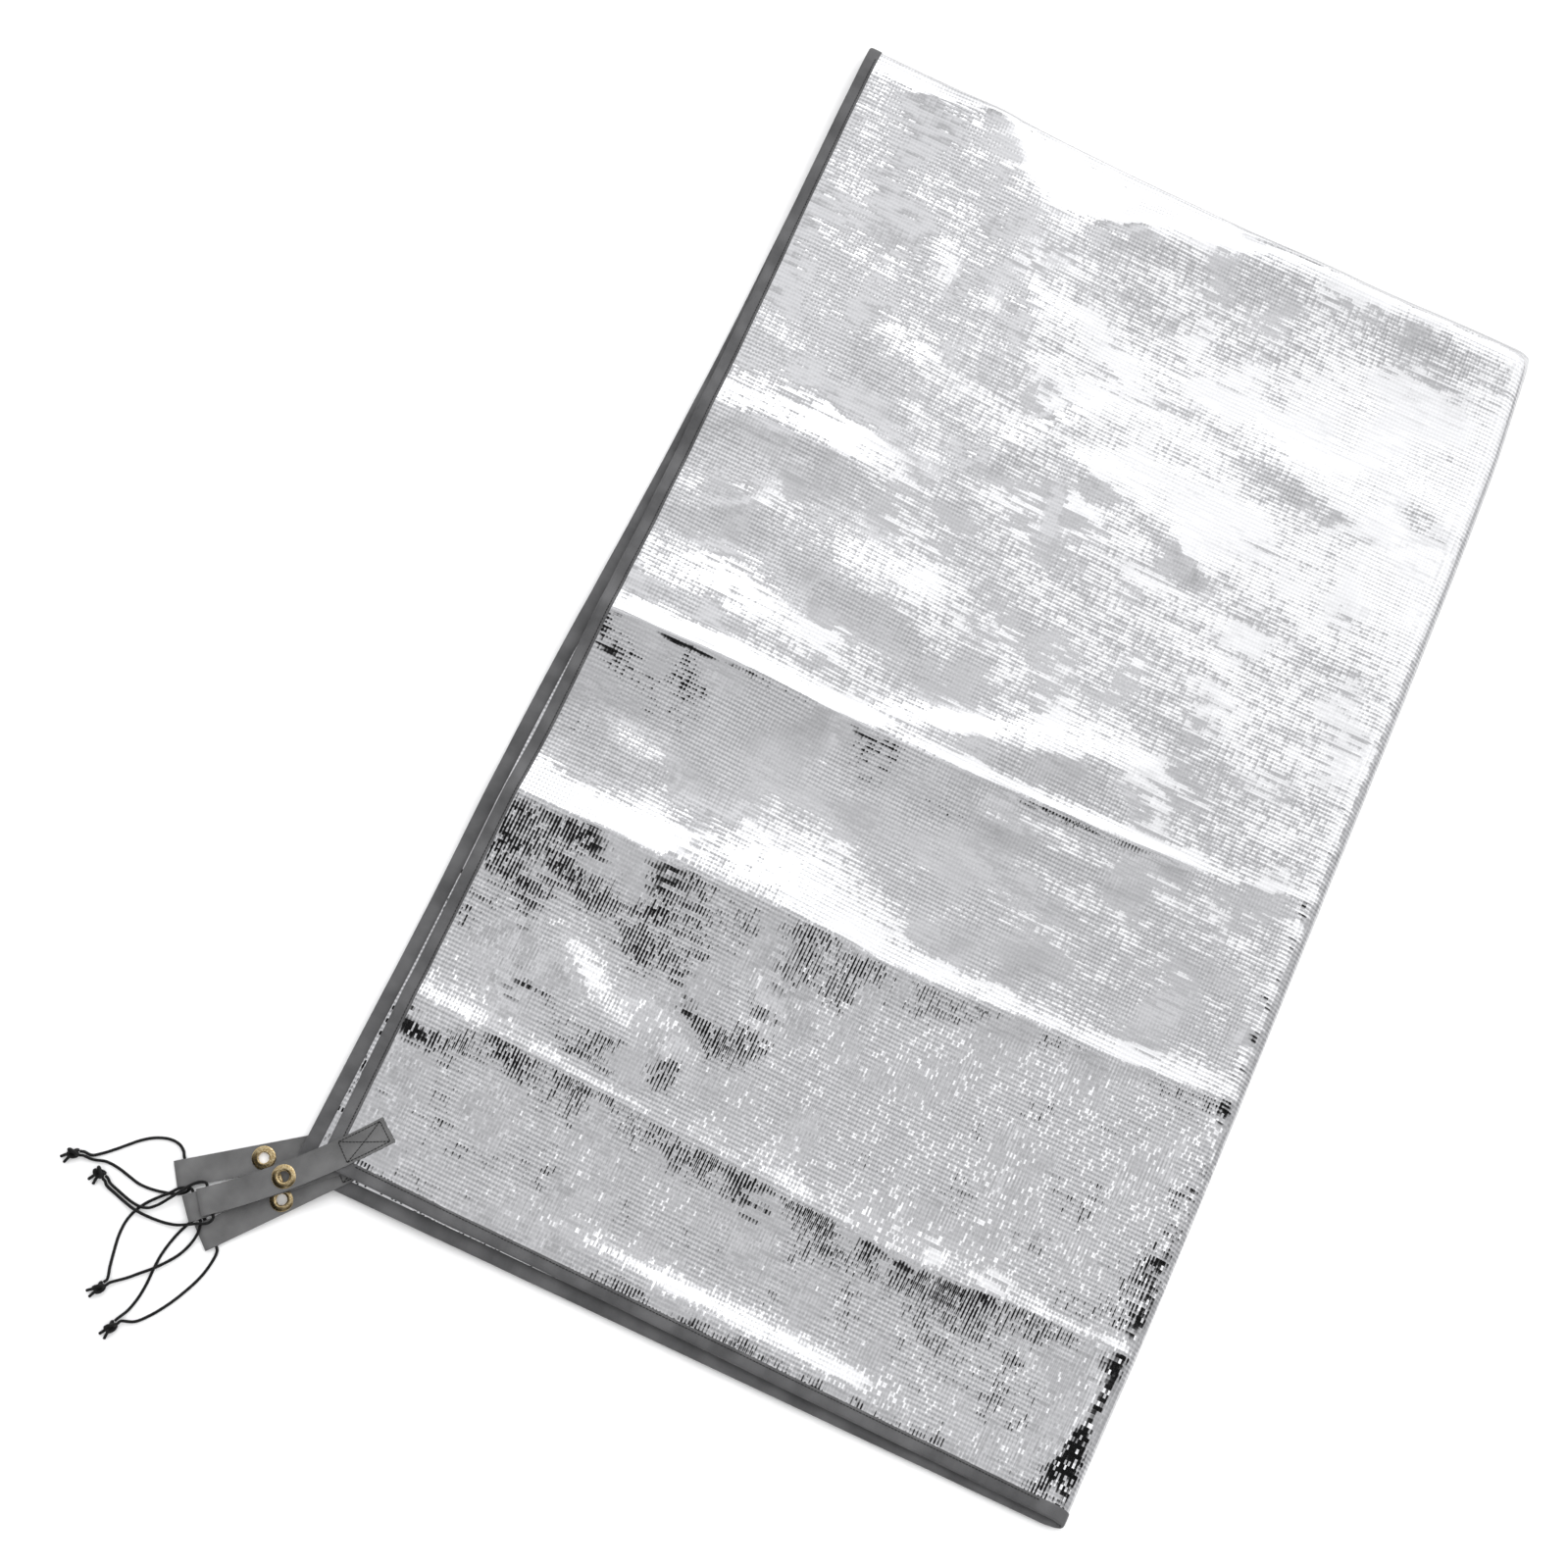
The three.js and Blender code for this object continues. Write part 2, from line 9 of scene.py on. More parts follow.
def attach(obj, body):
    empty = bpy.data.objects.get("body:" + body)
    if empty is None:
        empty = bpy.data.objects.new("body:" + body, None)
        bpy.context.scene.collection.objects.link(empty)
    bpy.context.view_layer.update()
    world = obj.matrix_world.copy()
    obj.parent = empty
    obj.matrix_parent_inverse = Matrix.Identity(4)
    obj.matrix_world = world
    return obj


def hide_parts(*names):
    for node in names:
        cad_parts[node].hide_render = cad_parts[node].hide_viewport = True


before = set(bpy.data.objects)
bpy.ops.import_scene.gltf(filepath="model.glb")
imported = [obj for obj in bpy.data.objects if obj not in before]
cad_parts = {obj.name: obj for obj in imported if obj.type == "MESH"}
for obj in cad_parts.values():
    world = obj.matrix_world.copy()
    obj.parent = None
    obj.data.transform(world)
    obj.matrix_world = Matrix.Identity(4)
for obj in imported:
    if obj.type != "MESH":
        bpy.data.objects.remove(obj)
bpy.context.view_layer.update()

MM = 0.001

# The open mat, its cloth, how far apart the layers lie, how far each fold bows out, how much cloth goes
# round half of it, and where its middle lies
HALF_WIDTH = 600
HALF_LENGTH = 1000
SHEET = 0.6
LAYER_PITCH = 3.2
SIDE_FOLD_BOW = 14
END_FOLD_BOW = 6
SIDE_TURN = 16
END_TURN = 7
SIDE_FOLD_X = 309
END_FOLD_Y = 498
# The height of the pile's middle, how far the tabs lift the corner and over what distance from its edges,
# how far the cloth settles inside its tapes, and where the tabs press the wrinkles out
MIDDLE_HEIGHT = 6.1
LOWER_LIFT = 3.4
UPPER_LIFT = 7.4
LIFT_FLAT = 68
LIFT_END = 228
SETTLE = 0.8
SETTLE_START = 14
SETTLE_END = 60
PRESS_FLAT = 60
PRESS_END = 120

# Outline of the folded mat: share of the way, upper half, lower half
LONG_EDGES = [
    (0, -299, -316),
    (0.22, -300, -313),
    (0.37, -298.3, -312.5),
    (0.52, -297.7, -307.4),
    (0.7, -298.8, -303),
    (0.9, -302.5, -302.5),
    (1, -303, -301),
]
SIDE_FOLD = [
    (0, 301, 301),
    (0.17, 306.5, 306.5),
    (0.5, 309, 309),
    (0.7, 310, 310),
    (0.9, 308.5, 308.5),
    (1, 301, 301),
]
FREE_ENDS = [(0, -497, -510.5), (1, -506, -512)]
END_FOLD = [
    (0, 503, 500),
    (0.17, 502.5, 499),
    (0.45, 498, 495),
    (0.73, 497.5, 494),
    (1, 501, 498),
]

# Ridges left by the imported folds, from the roll beside the end fold: place across the mat, distance from
# the end fold, rise, and how far the ridge reaches towards the end fold and away from it
CREASES = [
    [
        (-300, 24, 3.5, 22, 200), (-235, 20, 4, 18, 220), (-172, 8, 5, 6, 230), (-125, 56, 4.5, 50, 150),
        (-75, 56, 6, 50, 115), (-25, 38, 9, 34, 112), (30, 28, 8.6, 25, 92), (80, 16, 9.6, 14, 94),
        (130, 12, 10, 10, 105), (175, 12, 9, 9, 72), (225, 12, 9, 9, 68), (300, 16, 7, 14, 64),
    ],
    [
        (-290, 342, 3.8, 40, 60), (-225, 338, 4.6, 42, 60), (-180, 336, 4.6, 42, 60),
        (-125, 332, 0.9, 36, 60), (-60, 329, 0.2, 30, 60), (300, 330, 0.2, 30, 60),
    ],
    [
        (-296, 534, 6, 25, 100), (-230, 531, 5.6, 23, 100), (-189, 529, 5.6, 22, 96),
        (-100, 528, 3.6, 20, 52), (0, 526, 2.2, 14, 48), (60, 523, 2, 13, 15), (130, 520, 2.3, 13, 14),
        (180, 517, 1.6, 11, 12), (223, 515, 0.7, 14, 24), (290, 504, 0.8, 14, 24),
    ],
    [
        (-290, 692, 7.2, 60, 140), (-225, 691, 8.8, 64, 118), (-155, 690, 7.5, 70, 130),
        (-40, 685, 10.5, 78, 116), (30, 687, 4.8, 36, 52), (100, 682, 3.2, 24, 34),
        (160, 679, 2.2, 18, 26), (246, 675, 1.6, 16, 28), (290, 671, 1.2, 18, 26),
    ],
    [
        (-290, 861, 3.4, 26, 40), (-225, 863, 2.8, 28, 38), (-175, 865, 2.2, 13, 42), (-125, 867, 2, 12, 42),
        (-63, 870, 2.2, 34, 36), (0, 873, 3, 40, 38), (70, 876, 3.8, 46, 38), (116, 880, 4.4, 50, 38),
        (175, 877, 4.2, 45, 38), (225, 875, 1.6, 12, 30), (290, 873, 1.2, 12, 28),
    ],
]
# How far each crest is rounded
CREST_ROUND = [14, 6, 1.6, 2.5, 2]
# How the top layer falls away to the side fold: distance from the end fold, fall and how far in it starts
SIDE_FALL = [(0, 3, 15), (450, 3, 16), (680, 3.2, 28), (900, 3.6, 38), (1000, 3.6, 38)]

# Binding tape, folded over the edges: its thickness, its folded width, how far it runs past a corner, and
# its middle line on one face, as distance outwards from the cloth's edge and distance from the cloth's middle
TAPE = 0.45
TAPE_WIDTH = 10.2
TAPE_END = 0.8
TAPE_FACE = [(-9.8, 0.82), (-8.9, 0.98), (-6.6, 1.1), (-4, 1.12), (-1.4, 1.02), (-0.1, 0.72)]
TAPE_SECTION = [(out, -off) for out, off in TAPE_FACE] + [(0.5, 0)] + TAPE_FACE[::-1]
# How far a tape wanders in and out, over what length, in which layer of the noise, the share of that at its
# turn, and how far from the cloth's middle the turn reaches
TAPE_WANDER = 0.35
TAPE_WANDER_LENGTH = 45
TAPE_WANDER_LAYER = 2.5
TAPE_TURN_WANDER = 0.4
TAPE_TURN_OFF = 0.5
# Steps along a tape: before, round and after the fold
LONG_TAPE_STEPS = (5, 2, 9)
SHORT_TAPE_STEPS = (6, 3, 5)
# The seams: how far in from the edge and over the cloth's middle, and where they start from the corners
SEAM_INSET = 7.9
SEAM_OVER = 1.04
LONG_SEAM_START = 10
SHORT_SEAM_START = 25

# Webbing tabs, folded double round their cords, from the lowest: where each folded end lies, its heading
# and turn in degrees, and the height of its middle at the cord, the eyelet, the mat's edge and the root
TAB_WIDTH = 20
TAB_LENGTH = 145
PLY = 0.7
PLY_OFF = 0.5
CORD_AT = 8
EYELET_AT = 64
PUNCH_RADIUS = 4.9
PUNCH_DEPTH = 12
PUNCH_SIDES = 32
TABS = [
    {"x": -390.7, "y": -548.8, "heading": 35.5, "turn": 0, "heights": (2.15, 2.15, 2.15, 2.15)},
    {"x": -353.7, "y": -581.8, "heading": 50.1, "turn": 0, "heights": (2.15, 6, 10.45, 10.05)},
    {"x": -372.3, "y": -567.4, "heading": 42, "turn": 0, "heights": (5.6, 11, 12.55, 12.55)},
    {"x": -365.1, "y": -559.1, "heading": 38, "turn": 15.5, "heights": (9.8, 18.2, 20.85, 20.45)},
]
# Distance from the folded end, and which of a tab's heights holds there
TAB_STATIONS = [(16, 0), (54, 1), (74, 1), (84, 2), (118, 2), (150, 3)]
# Steps over which a tab's height is evened out, so that it bends softly
TAB_EASE = (-8, -4, 0, 4, 8)
# The loop round the cord, from the upper ply: distance from the folded end and from the tab's middle
TAB_LOOP = [(13.5, 0.8), (11.5, 1.2), (8, 1.55), (4.2, 1.45), (1.7, 0.9), (0.35, 0)]
TAB_LOOP_END = 16
# Places across a tab, closer together at its edges, and the step along it
TAB_ACROSS = [-10, -9.6, -8.5, -6, -3, 0, 3, 6, 8.5, 9.6, 10]
TAB_STEP = 3.5
# Whether the front of each tab, where it is sewn and its eyelet is rolled, faces up
FACE_UP = [False, True, False, True]

# The sewn box with its cross, on the front of a tab: distances from the folded end, and half its width
BOX_START = 109
BOX_END = 142
BOX_HALF = 8.2

# Brass eyelets: the section from the bore round the front, as radius and height over the tab's middle
EYELET_SIDES = 48
EYELET_SECTION = [
    (4.0, -1.5), (4.0, 1.2), (4.25, 1.75), (4.9, 2.05), (5.9, 2.05), (7.2, 1.8), (8.2, 1.45),
    (8.7, 1.25), (8.75, 1.15), (8.5, 1.02), (4.65, 1.02), (4.65, -1.02), (8.5, -1.02), (8.75, -1.15),
    (8.6, -1.4), (7.4, -1.62), (5.6, -1.7), (4.7, -2.0), (4.25, -1.9), (4.0, -1.5),
]

# Elastic cords: the knot with its heading away from its strands and the heading of its cut tails, and the
# two strands, from the knot to the left side of the tab's folded end and from its right side back
CORD = 2.2
CORD_STEP = 1.5
CORD_SIDES = 10
CLEARANCE = 0.3
KNOT_LENGTH = 9
KNOT_WIDTH = 8.4
KNOT_TAIL = 9
KNOT_LEAD = 3
CORDS = [
    {
        "knot": {"x": -464, "y": -565, "heading": 200, "tails": 235},
        "left": [
            (-451.5, -561.2, 1.8), (-445, -556.6, 1.2), (-438.3, -550.5, 1.2), (-432, -544.2, 1.2),
            (-425.9, -538.2, 1.2), (-419.5, -533.2, 1.2), (-412.5, -529.6, 1.2), (-405, -527.7, 1.2),
            (-398, -528.4, 1.5), (-393.4, -531.3, 1.9),
        ],
        "right": [
            (-377.4, -555.6, 1.9), (-380.6, -559, 1.5), (-386, -561.6, 1.2), (-393, -563.5, 1.2),
            (-401, -565, 1.2), (-411, -565.4, 1.2), (-421, -563.4, 1.2), (-430, -561.5, 1.2),
            (-440, -561, 1.2), (-449.5, -563.6, 1.9),
        ],
    },
    {
        "knot": {"x": -381.8, "y": -662.4, "heading": 246, "tails": 250},
        "left": [
            (-376.6, -647.5, 1.7), (-374.2, -637, 1.2), (-373.4, -626, 1.2), (-373.8, -615, 1.2),
            (-373.6, -604, 1.2), (-371.8, -593, 1.2), (-368.8, -582.5, 1.2), (-364.6, -573.2, 1.3),
            (-360.8, -568.8, 1.7),
        ],
        "right": [
            (-338.2, -586.6, 1.9), (-338.3, -592, 1.4), (-339.6, -601, 1.2), (-342.2, -610, 1.2),
            (-345.8, -618.6, 1.2), (-350, -627.4, 1.2), (-355, -636, 1.2), (-361, -644.6, 1.2),
            (-368.6, -652.6, 1.8),
        ],
    },
    {
        "knot": {"x": -402.2, "y": -641.6, "heading": 240, "tails": 232},
        "left": [
            (-402.6, -625.4, 2), (-405.4, -614, 1.2), (-407.4, -603, 1.2), (-407.4, -592.6, 1.2),
            (-405, -583.6, 1.2), (-400.4, -575.4, 1.4), (-394.4, -568.4, 2.6), (-388.2, -562, 4.2),
            (-383.2, -556, 5.1), (-378.8, -553.6, 5.5),
        ],
        "right": [
            (-357.2, -573.8, 5.6), (-356.4, -579.6, 5.4), (-357.8, -588, 3.6), (-361.6, -597.4, 2),
            (-367.2, -606, 2.8), (-373.8, -614, 3.7), (-380.6, -620.6, 2.8), (-388, -627.8, 1.7),
        ],
    },
    {
        "knot": {"x": -440.2, "y": -569.6, "heading": 160, "tails": 250},
        "left": [
            (-430.4, -573, 3.4), (-421, -576.2, 1.7), (-411.4, -578.6, 2.4), (-403.4, -579.2, 3.7),
            (-397.4, -577.8, 3.7), (-391.6, -572.8, 4.9), (-386.2, -565.4, 6.9), (-380.4, -556.6, 8.3),
            (-375, -549, 9.2), (-370.2, -545, 9.6),
        ],
        "right": [
            (-350.8, -566, 9.7), (-353, -569.6, 9.3), (-358.8, -572.4, 8.4), (-365.4, -576.2, 6.6),
            (-373, -580, 4.2), (-381.4, -582.2, 2.2), (-390.8, -583.2, 1.9), (-399, -583.2, 3.2),
            (-406, -582.6, 3.7), (-413.4, -581.2, 2.4), (-422.4, -578.8, 1.7), (-431.8, -575.6, 3.4),
        ],
    },
]
# Where a cord passes through its tab, as shares of the tab's half width
CORD_THROUGH = (1.25, 0.6, 0, -0.6, -1.25)
# Where the cut tails of a knot run: the share of their length, how far to each side, and how far down
TAIL_ROUTE = [(0, 0.6, 0), (0.5, 1.4, 0.4), (1, 2.4, 2.4)]

# Soft wrinkles of the top layer: both ends of each, its rise, and its width to the left and right of its run
WRINKLES = [
    (130, 320, 230, 302, 3, 32, 18),
    (-9, 245, 50, 239, 1.6, 12, 12),
    (50, 239, 91, 225, 1.2, 12, 12),
    (91, 225, 125, 203, 1.6, 12, 12),
    (-85, 201, -10, 289, 2.2, 9, 14),
    (38, 211, 60, 234, 1.4, 7, 7),
    (-9, 245, 1, 181, 0.5, 5, 5),
    (-200, 262, -145, 258, 2.2, 15, 40),
    (-150, 314, -60, 310, 2, 70, 38),
    (0, 200, 60, 196, 1.2, 16, 24),
    (150, 165, 150, 65, 1.3, 50, 50),
    (140, 196, 215, 198, 1.5, 30, 14),
    (-100, 352, -35, 348, 2, 15, 40),
    (-190, 352, -165, 350, 1.4, 13, 36),
    (-310, 54, -210, 98, 4.4, 26, 20),
    (-170, 68, -60, 70, 4.8, 36, 24),
    (-400, -6, -132, -2, 9, 40, 110),
    (-70, -24, 40, 8, 5.5, 15, 56),
    (40, 8, 140, 36, 4.5, 20, 32),
    (-260, -33, -110, -29.5, 0.75, 5, 5),
    (65, -25, 205, -18, 0.7, 5, 5),
    (-20, -57.5, 145, -53.5, 1.6, 26, 6),
    (-290, -57.5, -190, -58, 0.5, 20, 6),
    (-46, 98, -45, 76, 0.5, 5, 5),
    (-256, -127, -198, -133, 4.2, 13, 34),
    (-400, -196, -140, -191, 5.5, 30, 90),
    (-150, -182, -50, -179, 5, 42, 130),
    (-300, -194, -190, -191.6, 1.1, 4, 14),
    (-280, -223, -165, -231, 0.4, 6, 10),
    (-270, -247, -205, -251, 0.4, 6, 10),
    (220, 232, 300, 226, 1.4, 18, 24),
    (205, 186, 300, 196, 1.3, 22, 18),
    (205, 352, 300, 330, 2, 16, 20),
    (-225, -280, -128, -342, 6.2, 19, 50),
    (-150, -305, -95, -322, 3.6, 18, 30),
    (-285, -384, -240, -374, 1.8, 16, 11),
    (-112, -280, -52, -292, 3, 34, 13),
    (23, -225, 23, -273, 0.5, 4, 6),
    (67, -262, 63, -336, 0.5, 4, 6),
    (102, -225, 102, -271, 0.5, 4, 6),
    (150, -232, 160, -330, 0.5, 5, 9),
    (-79, -408, -65, -471, 0.5, 5, 7),
    (20, -405, 34, -480, 0.4, 6, 8),
    (120, -410, 128, -486, 0.5, 6, 8),
    (-95, -476, 135, -483, 5.2, 10, 36),
    (262, -496, 296, -400, 2.1, 12, 12),
]
# The share of its run over which a wrinkle starts and ends, and how many widths of it are worked out
WRINKLE_TAPER = 0.3
WRINKLE_WIDTHS = 3
# Unevenness of the top layer, broad near the end fold and in long streaks beyond: length across and along,
# layer of the noise, and rise; and between which distances from the end fold the one gives way to the other
BROAD_SWELL = (130, 95, 3.1, 1.2)
BROAD_RIDGES = (75, 42, 8.4, 1.1)
LONG_STREAKS = (34, 160, 5.7, 1.3)
LONG_RIDGES = (62, 58, 1.9, 1.6)
STREAKS_FROM = 640
STREAKS_TO = 760


def clamp(value, low, high):
    return min(max(value, low), high)


def lerp(start, end, share):
    return start + (end - start) * share


def smooth(value, low, high):
    share = clamp((value - low) / (high - low), 0, 1)
    return share * share * (3 - 2 * share)


def curve(rows, at, column):
    """A column's value on the smooth curve through a table's rows, whose first column is the place."""
    last = len(rows) - 1

    def slope(row):
        before = rows[max(row - 1, 0)]
        after = rows[min(row + 1, last)]
        return (after[column] - before[column]) / (after[0] - before[0])

    if at <= rows[0][0]:
        return rows[0][column] + slope(0) * (at - rows[0][0])
    if at >= rows[last][0]:
        return rows[last][column] + slope(last) * (at - rows[last][0])
    row = next(i for i in range(last) if at <= rows[i + 1][0])
    start = rows[row]
    end = rows[row + 1]
    span = end[0] - start[0]
    t = (at - start[0]) / span
    return (
        start[column] * (1 + 2 * t) * (1 - t) ** 2
        + end[column] * t * t * (3 - 2 * t)
        + slope(row) * span * t * (1 - t) ** 2
        + slope(row + 1) * span * t * t * (t - 1)
    )


def edge_at(rows, share, upper):
    return lerp(curve(rows, share, 2), curve(rows, share, 1), upper)


def wrinkle_height(place):
    """How far the wrinkles raise the top layer at a place."""
    height = 0
    for x0, y0, x1, y1, rise, left, right in WRINKLES:
        start = Vector((x0, y0))
        line = Vector((x1, y1)) - start
        share = (place - start).dot(line) / line.length_squared
        if -WRINKLE_TAPER < share < 1 + WRINKLE_TAPER:
            off = line.cross(place - start) / line.length
            width = left if off > 0 else right
            if abs(off) < WRINKLE_WIDTHS * width:
                taper = smooth(share, -WRINKLE_TAPER, WRINKLE_TAPER)
                taper *= 1 - smooth(share, 1 - WRINKLE_TAPER, 1 + WRINKLE_TAPER)
                height += rise * taper * math.exp(-((off / width) ** 2))
    return height


def swell(x, y, row):
    across, along, layer, rise = row
    return rise * noise.noise((x / across, y / along, layer))


def relief(x, distance):
    """How far the top layer stands over a flat pile: x is across the mat, distance from the end fold."""
    height = 0
    for crest, round_over in zip(CREASES, CREST_ROUND):
        past = distance - curve(crest, x, 1)
        reach = curve(crest, x, 4 if past > 0 else 3)
        run = math.hypot(past, round_over) - round_over
        height += curve(crest, x, 2) * max(1 - run / reach, 0) ** 2
    inward = (SIDE_FOLD_X - x) / curve(SIDE_FALL, distance, 2)
    height -= curve(SIDE_FALL, distance, 1) * max(1 - inward, 0) ** 2
    y = END_FOLD_Y - distance
    height += wrinkle_height(Vector((x, y)))
    broad = swell(x, y, BROAD_SWELL) + abs(swell(x, y, BROAD_RIDGES))
    long = abs(swell(x, y, LONG_STREAKS)) + abs(swell(x, y, LONG_RIDGES))
    return height + lerp(broad, long, smooth(distance, STREAKS_FROM, STREAKS_TO))


def cloth_point(across, along, off=0.0):
    """A point of the folded cloth. across runs from the open edge of the lower half, below zero, round the
    side fold to that of the upper half; along runs from the free end of the outer layers, below zero, round
    the end fold to that of the inner ones; off is towards the front face."""
    turn = math.pi / 2 * clamp(across / SIDE_TURN, -1, 1)
    tuck = math.pi / 2 * clamp(along / END_TURN, -1, 1)
    from_open_edge = HALF_WIDTH - max(abs(across), SIDE_TURN)
    from_free_end = HALF_LENGTH - max(abs(along), END_TURN)
    inset = from_open_edge / (HALF_WIDTH - SIDE_TURN)
    climb = from_free_end / (HALF_LENGTH - END_TURN)
    upper = (1 + math.sin(turn)) / 2

    left = edge_at(LONG_EDGES, climb, upper)
    right = edge_at(SIDE_FOLD, climb, upper) - SIDE_FOLD_BOW
    near = edge_at(FREE_ENDS, inset, upper)
    far = edge_at(END_FOLD, inset, upper) - END_FOLD_BOW
    middle = -LAYER_PITCH / 2 * math.sin(tuck)
    raised = middle - off * math.sin(tuck)

    # From 0 in the lowest of the four layers to 1 in the top one
    layer_share = (LAYER_PITCH + middle) * math.sin(turn) / (3 * LAYER_PITCH) + 0.5
    corner = 1 - smooth(from_open_edge, LIFT_FLAT, LIFT_END)
    corner *= 1 - smooth(from_free_end, LIFT_FLAT, LIFT_END)
    pressed = 1 - smooth(from_open_edge, PRESS_FLAT, PRESS_END)
    pressed *= 1 - smooth(from_free_end, PRESS_FLAT, PRESS_END)
    settle = SETTLE * smooth(from_open_edge, SETTLE_START, SETTLE_END)
    settle *= smooth(from_free_end, SETTLE_START, SETTLE_END)
    x = lerp(left, right, inset) + (SIDE_FOLD_BOW + raised) * math.cos(turn)
    y = lerp(near, far, climb) + (END_FOLD_BOW + off) * math.cos(tuck)
    z = MIDDLE_HEIGHT + (LAYER_PITCH + raised) * math.sin(turn)
    z += lerp(LOWER_LIFT, UPPER_LIFT, upper) * corner - settle
    z += layer_share * (1 - pressed) * relief(x, abs(along))
    return Vector((x, y, z)) * MM


def spaced(start, stop, step):
    """Places from start up to stop, without stop itself, about a step apart."""
    count = max(1, math.ceil(abs(stop - start) / step))
    return [lerp(start, stop, i / count) for i in range(count)]


def folded_run(end, turn, steps):
    """Places from one end of a run, round its fold, to the other end, with a step for each of the three."""
    before, over, after = steps
    return spaced(-end, -turn, before) + spaced(-turn, turn, over) + spaced(turn, end, after) + [end]


def deselect():
    bpy.ops.object.select_all(action="DESELECT")


def cloth_grid(name, columns, rows, place):
    """A sheet: a grid whose points are carried to their places. Its UV map holds the flat cloth in metres."""
    deselect()
    bpy.ops.mesh.primitive_grid_add(x_subdivisions=len(columns) - 1, y_subdivisions=len(rows) - 1, size=1)
    piece = bpy.context.object
    piece.name = name
    mesh = piece.data
    mesh.name = name
    flat = []
    for vertex in mesh.vertices:
        column = columns[round((vertex.co.x + 0.5) * (len(columns) - 1))]
        row = rows[round((vertex.co.y + 0.5) * (len(rows) - 1))]
        vertex.co, spot = place(column, row)
        flat.append(spot)
    uv_map = mesh.uv_layers.active
    uv_map.name = "cloth"
    for loop in mesh.loops:
        uv_map.data[loop.index].uv = flat[loop.vertex_index]
    return piece


def apply_modifier(piece, kind, **settings):
    modifier = piece.modifiers.new(kind.lower(), kind)
    for name, value in settings.items():
        setattr(modifier, name, value)
    deselect()
    bpy.context.view_layer.objects.active = piece
    bpy.ops.object.modifier_apply(modifier=modifier.name)


# Edges that bend more than this, in degrees, stay sharp
SHARP_EDGE = 50


def finish_piece(piece, slot, material, *nodes):
    """Smooth, in its material, on the mat, in place of its plain solids."""
    deselect()
    piece.select_set(True)
    bpy.context.view_layer.objects.active = piece
    bpy.ops.object.shade_smooth_by_angle(angle=math.radians(SHARP_EDGE))
    piece.data.materials.append(material)
    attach(piece, "root")
    if nodes:
        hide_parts(*nodes)
    return piece


def linear(hex_colour):
    """An sRGB hex colour as linear light."""
    parts = [int(hex_colour[i : i + 2], 16) / 255 for i in (1, 3, 5)]
    return [c / 12.92 if c <= 0.04045 else ((c + 0.055) / 1.055) ** 2.4 for c in parts] + [1]


def add_node(tree, kind, inputs=None, output=0, **settings):
    """A node with its settings; each input takes a value or another node's output. Gives back the output
    asked for, or the node itself where that is None."""
    node = tree.nodes.new(kind)
    for name, value in settings.items():
        setattr(node, name, value)
    for socket, value in (inputs or {}).items():
        if isinstance(value, bpy.types.NodeSocket):
            tree.links.new(value, node.inputs[socket])
        else:
            node.inputs[socket].default_value = value
    return node if output is None else node.outputs[output]


def set_tones(ramp, *tones):
    for element, (place, colour) in zip(ramp.color_ramp.elements, tones):
        element.position = place
        element.color = linear(colour)


# Most values of a noise lie between these
NOISE_LOW = 0.3
NOISE_HIGH = 0.7


def new_material(name):
    material = bpy.data.materials.new(name)
    material.use_nodes = True
    tree = material.node_tree
    return material, tree, tree.nodes["Principled BSDF"]


# The foil's tapes: their widths, and how long a tape lies on top. In the photo the weave repeats about every
# 3.1 mm across and 3.2 mm along, so it is drawn a little finer across and a little coarser along
WEAVE_ACROSS = 2.8
WEAVE_ALONG = 3.4
WEAVE_FLOAT = 5.6
# How far the tapes' faces tilt, as slopes: across, along, for each row, for each length on top and for
# stray flecks
TILT_ACROSS = 0.11
TILT_ALONG = 0.05
TILT_ROW = 0.18
TILT_FLOAT = 0.05
TILT_FLECK = 0.2
# Near the end fold the cloth is calmer: the share of the tilt across that is left there, what the shares
# across and along add up to, and where the calm ends, in metres
TILT_CALM = 0.3
TILT_SHARES = 1.3
CALM_FROM = 0.66
CALM_TO = 0.7
# Patches where the film bridges the tapes: how many to a metre, where in the noise they end, and the share
# of the tilt that is left in them
BRIDGE_SCALE = 18
BRIDGE_FROM = 0.38
BRIDGE_TO = 0.58
BRIDGE_TILT = 0.25
# Each row rolls slowly along its length: rolls to a tape's width, and how far apart rows are in the noise
ROLL_ALONG = 0.09
ROLL_APART = 7.3
# The share of half tapes without a stray tilt
FLECK_FREE = 0.8
# Painted shade between the ribs and painted highlights on their crests: how strongly the ribs across and along
# shade the film, and the sums that give its two tones
RIB_PAINTED_SHADE_WEIGHTS = (0.35, 1, 0)
RIB_PAINTED_SHADE_LOW = -1.2
RIB_PAINTED_HIGHLIGHT_HIGH = 1.0
# Painted shade beside a fold: how bright the film's colour is there, from how near and to how far, in metres
FOLD_PAINTED_SHADE = 0.7
FOLD_PAINTED_SHADE_FROM = 0.003
FOLD_PAINTED_SHADE_TO = 0.014


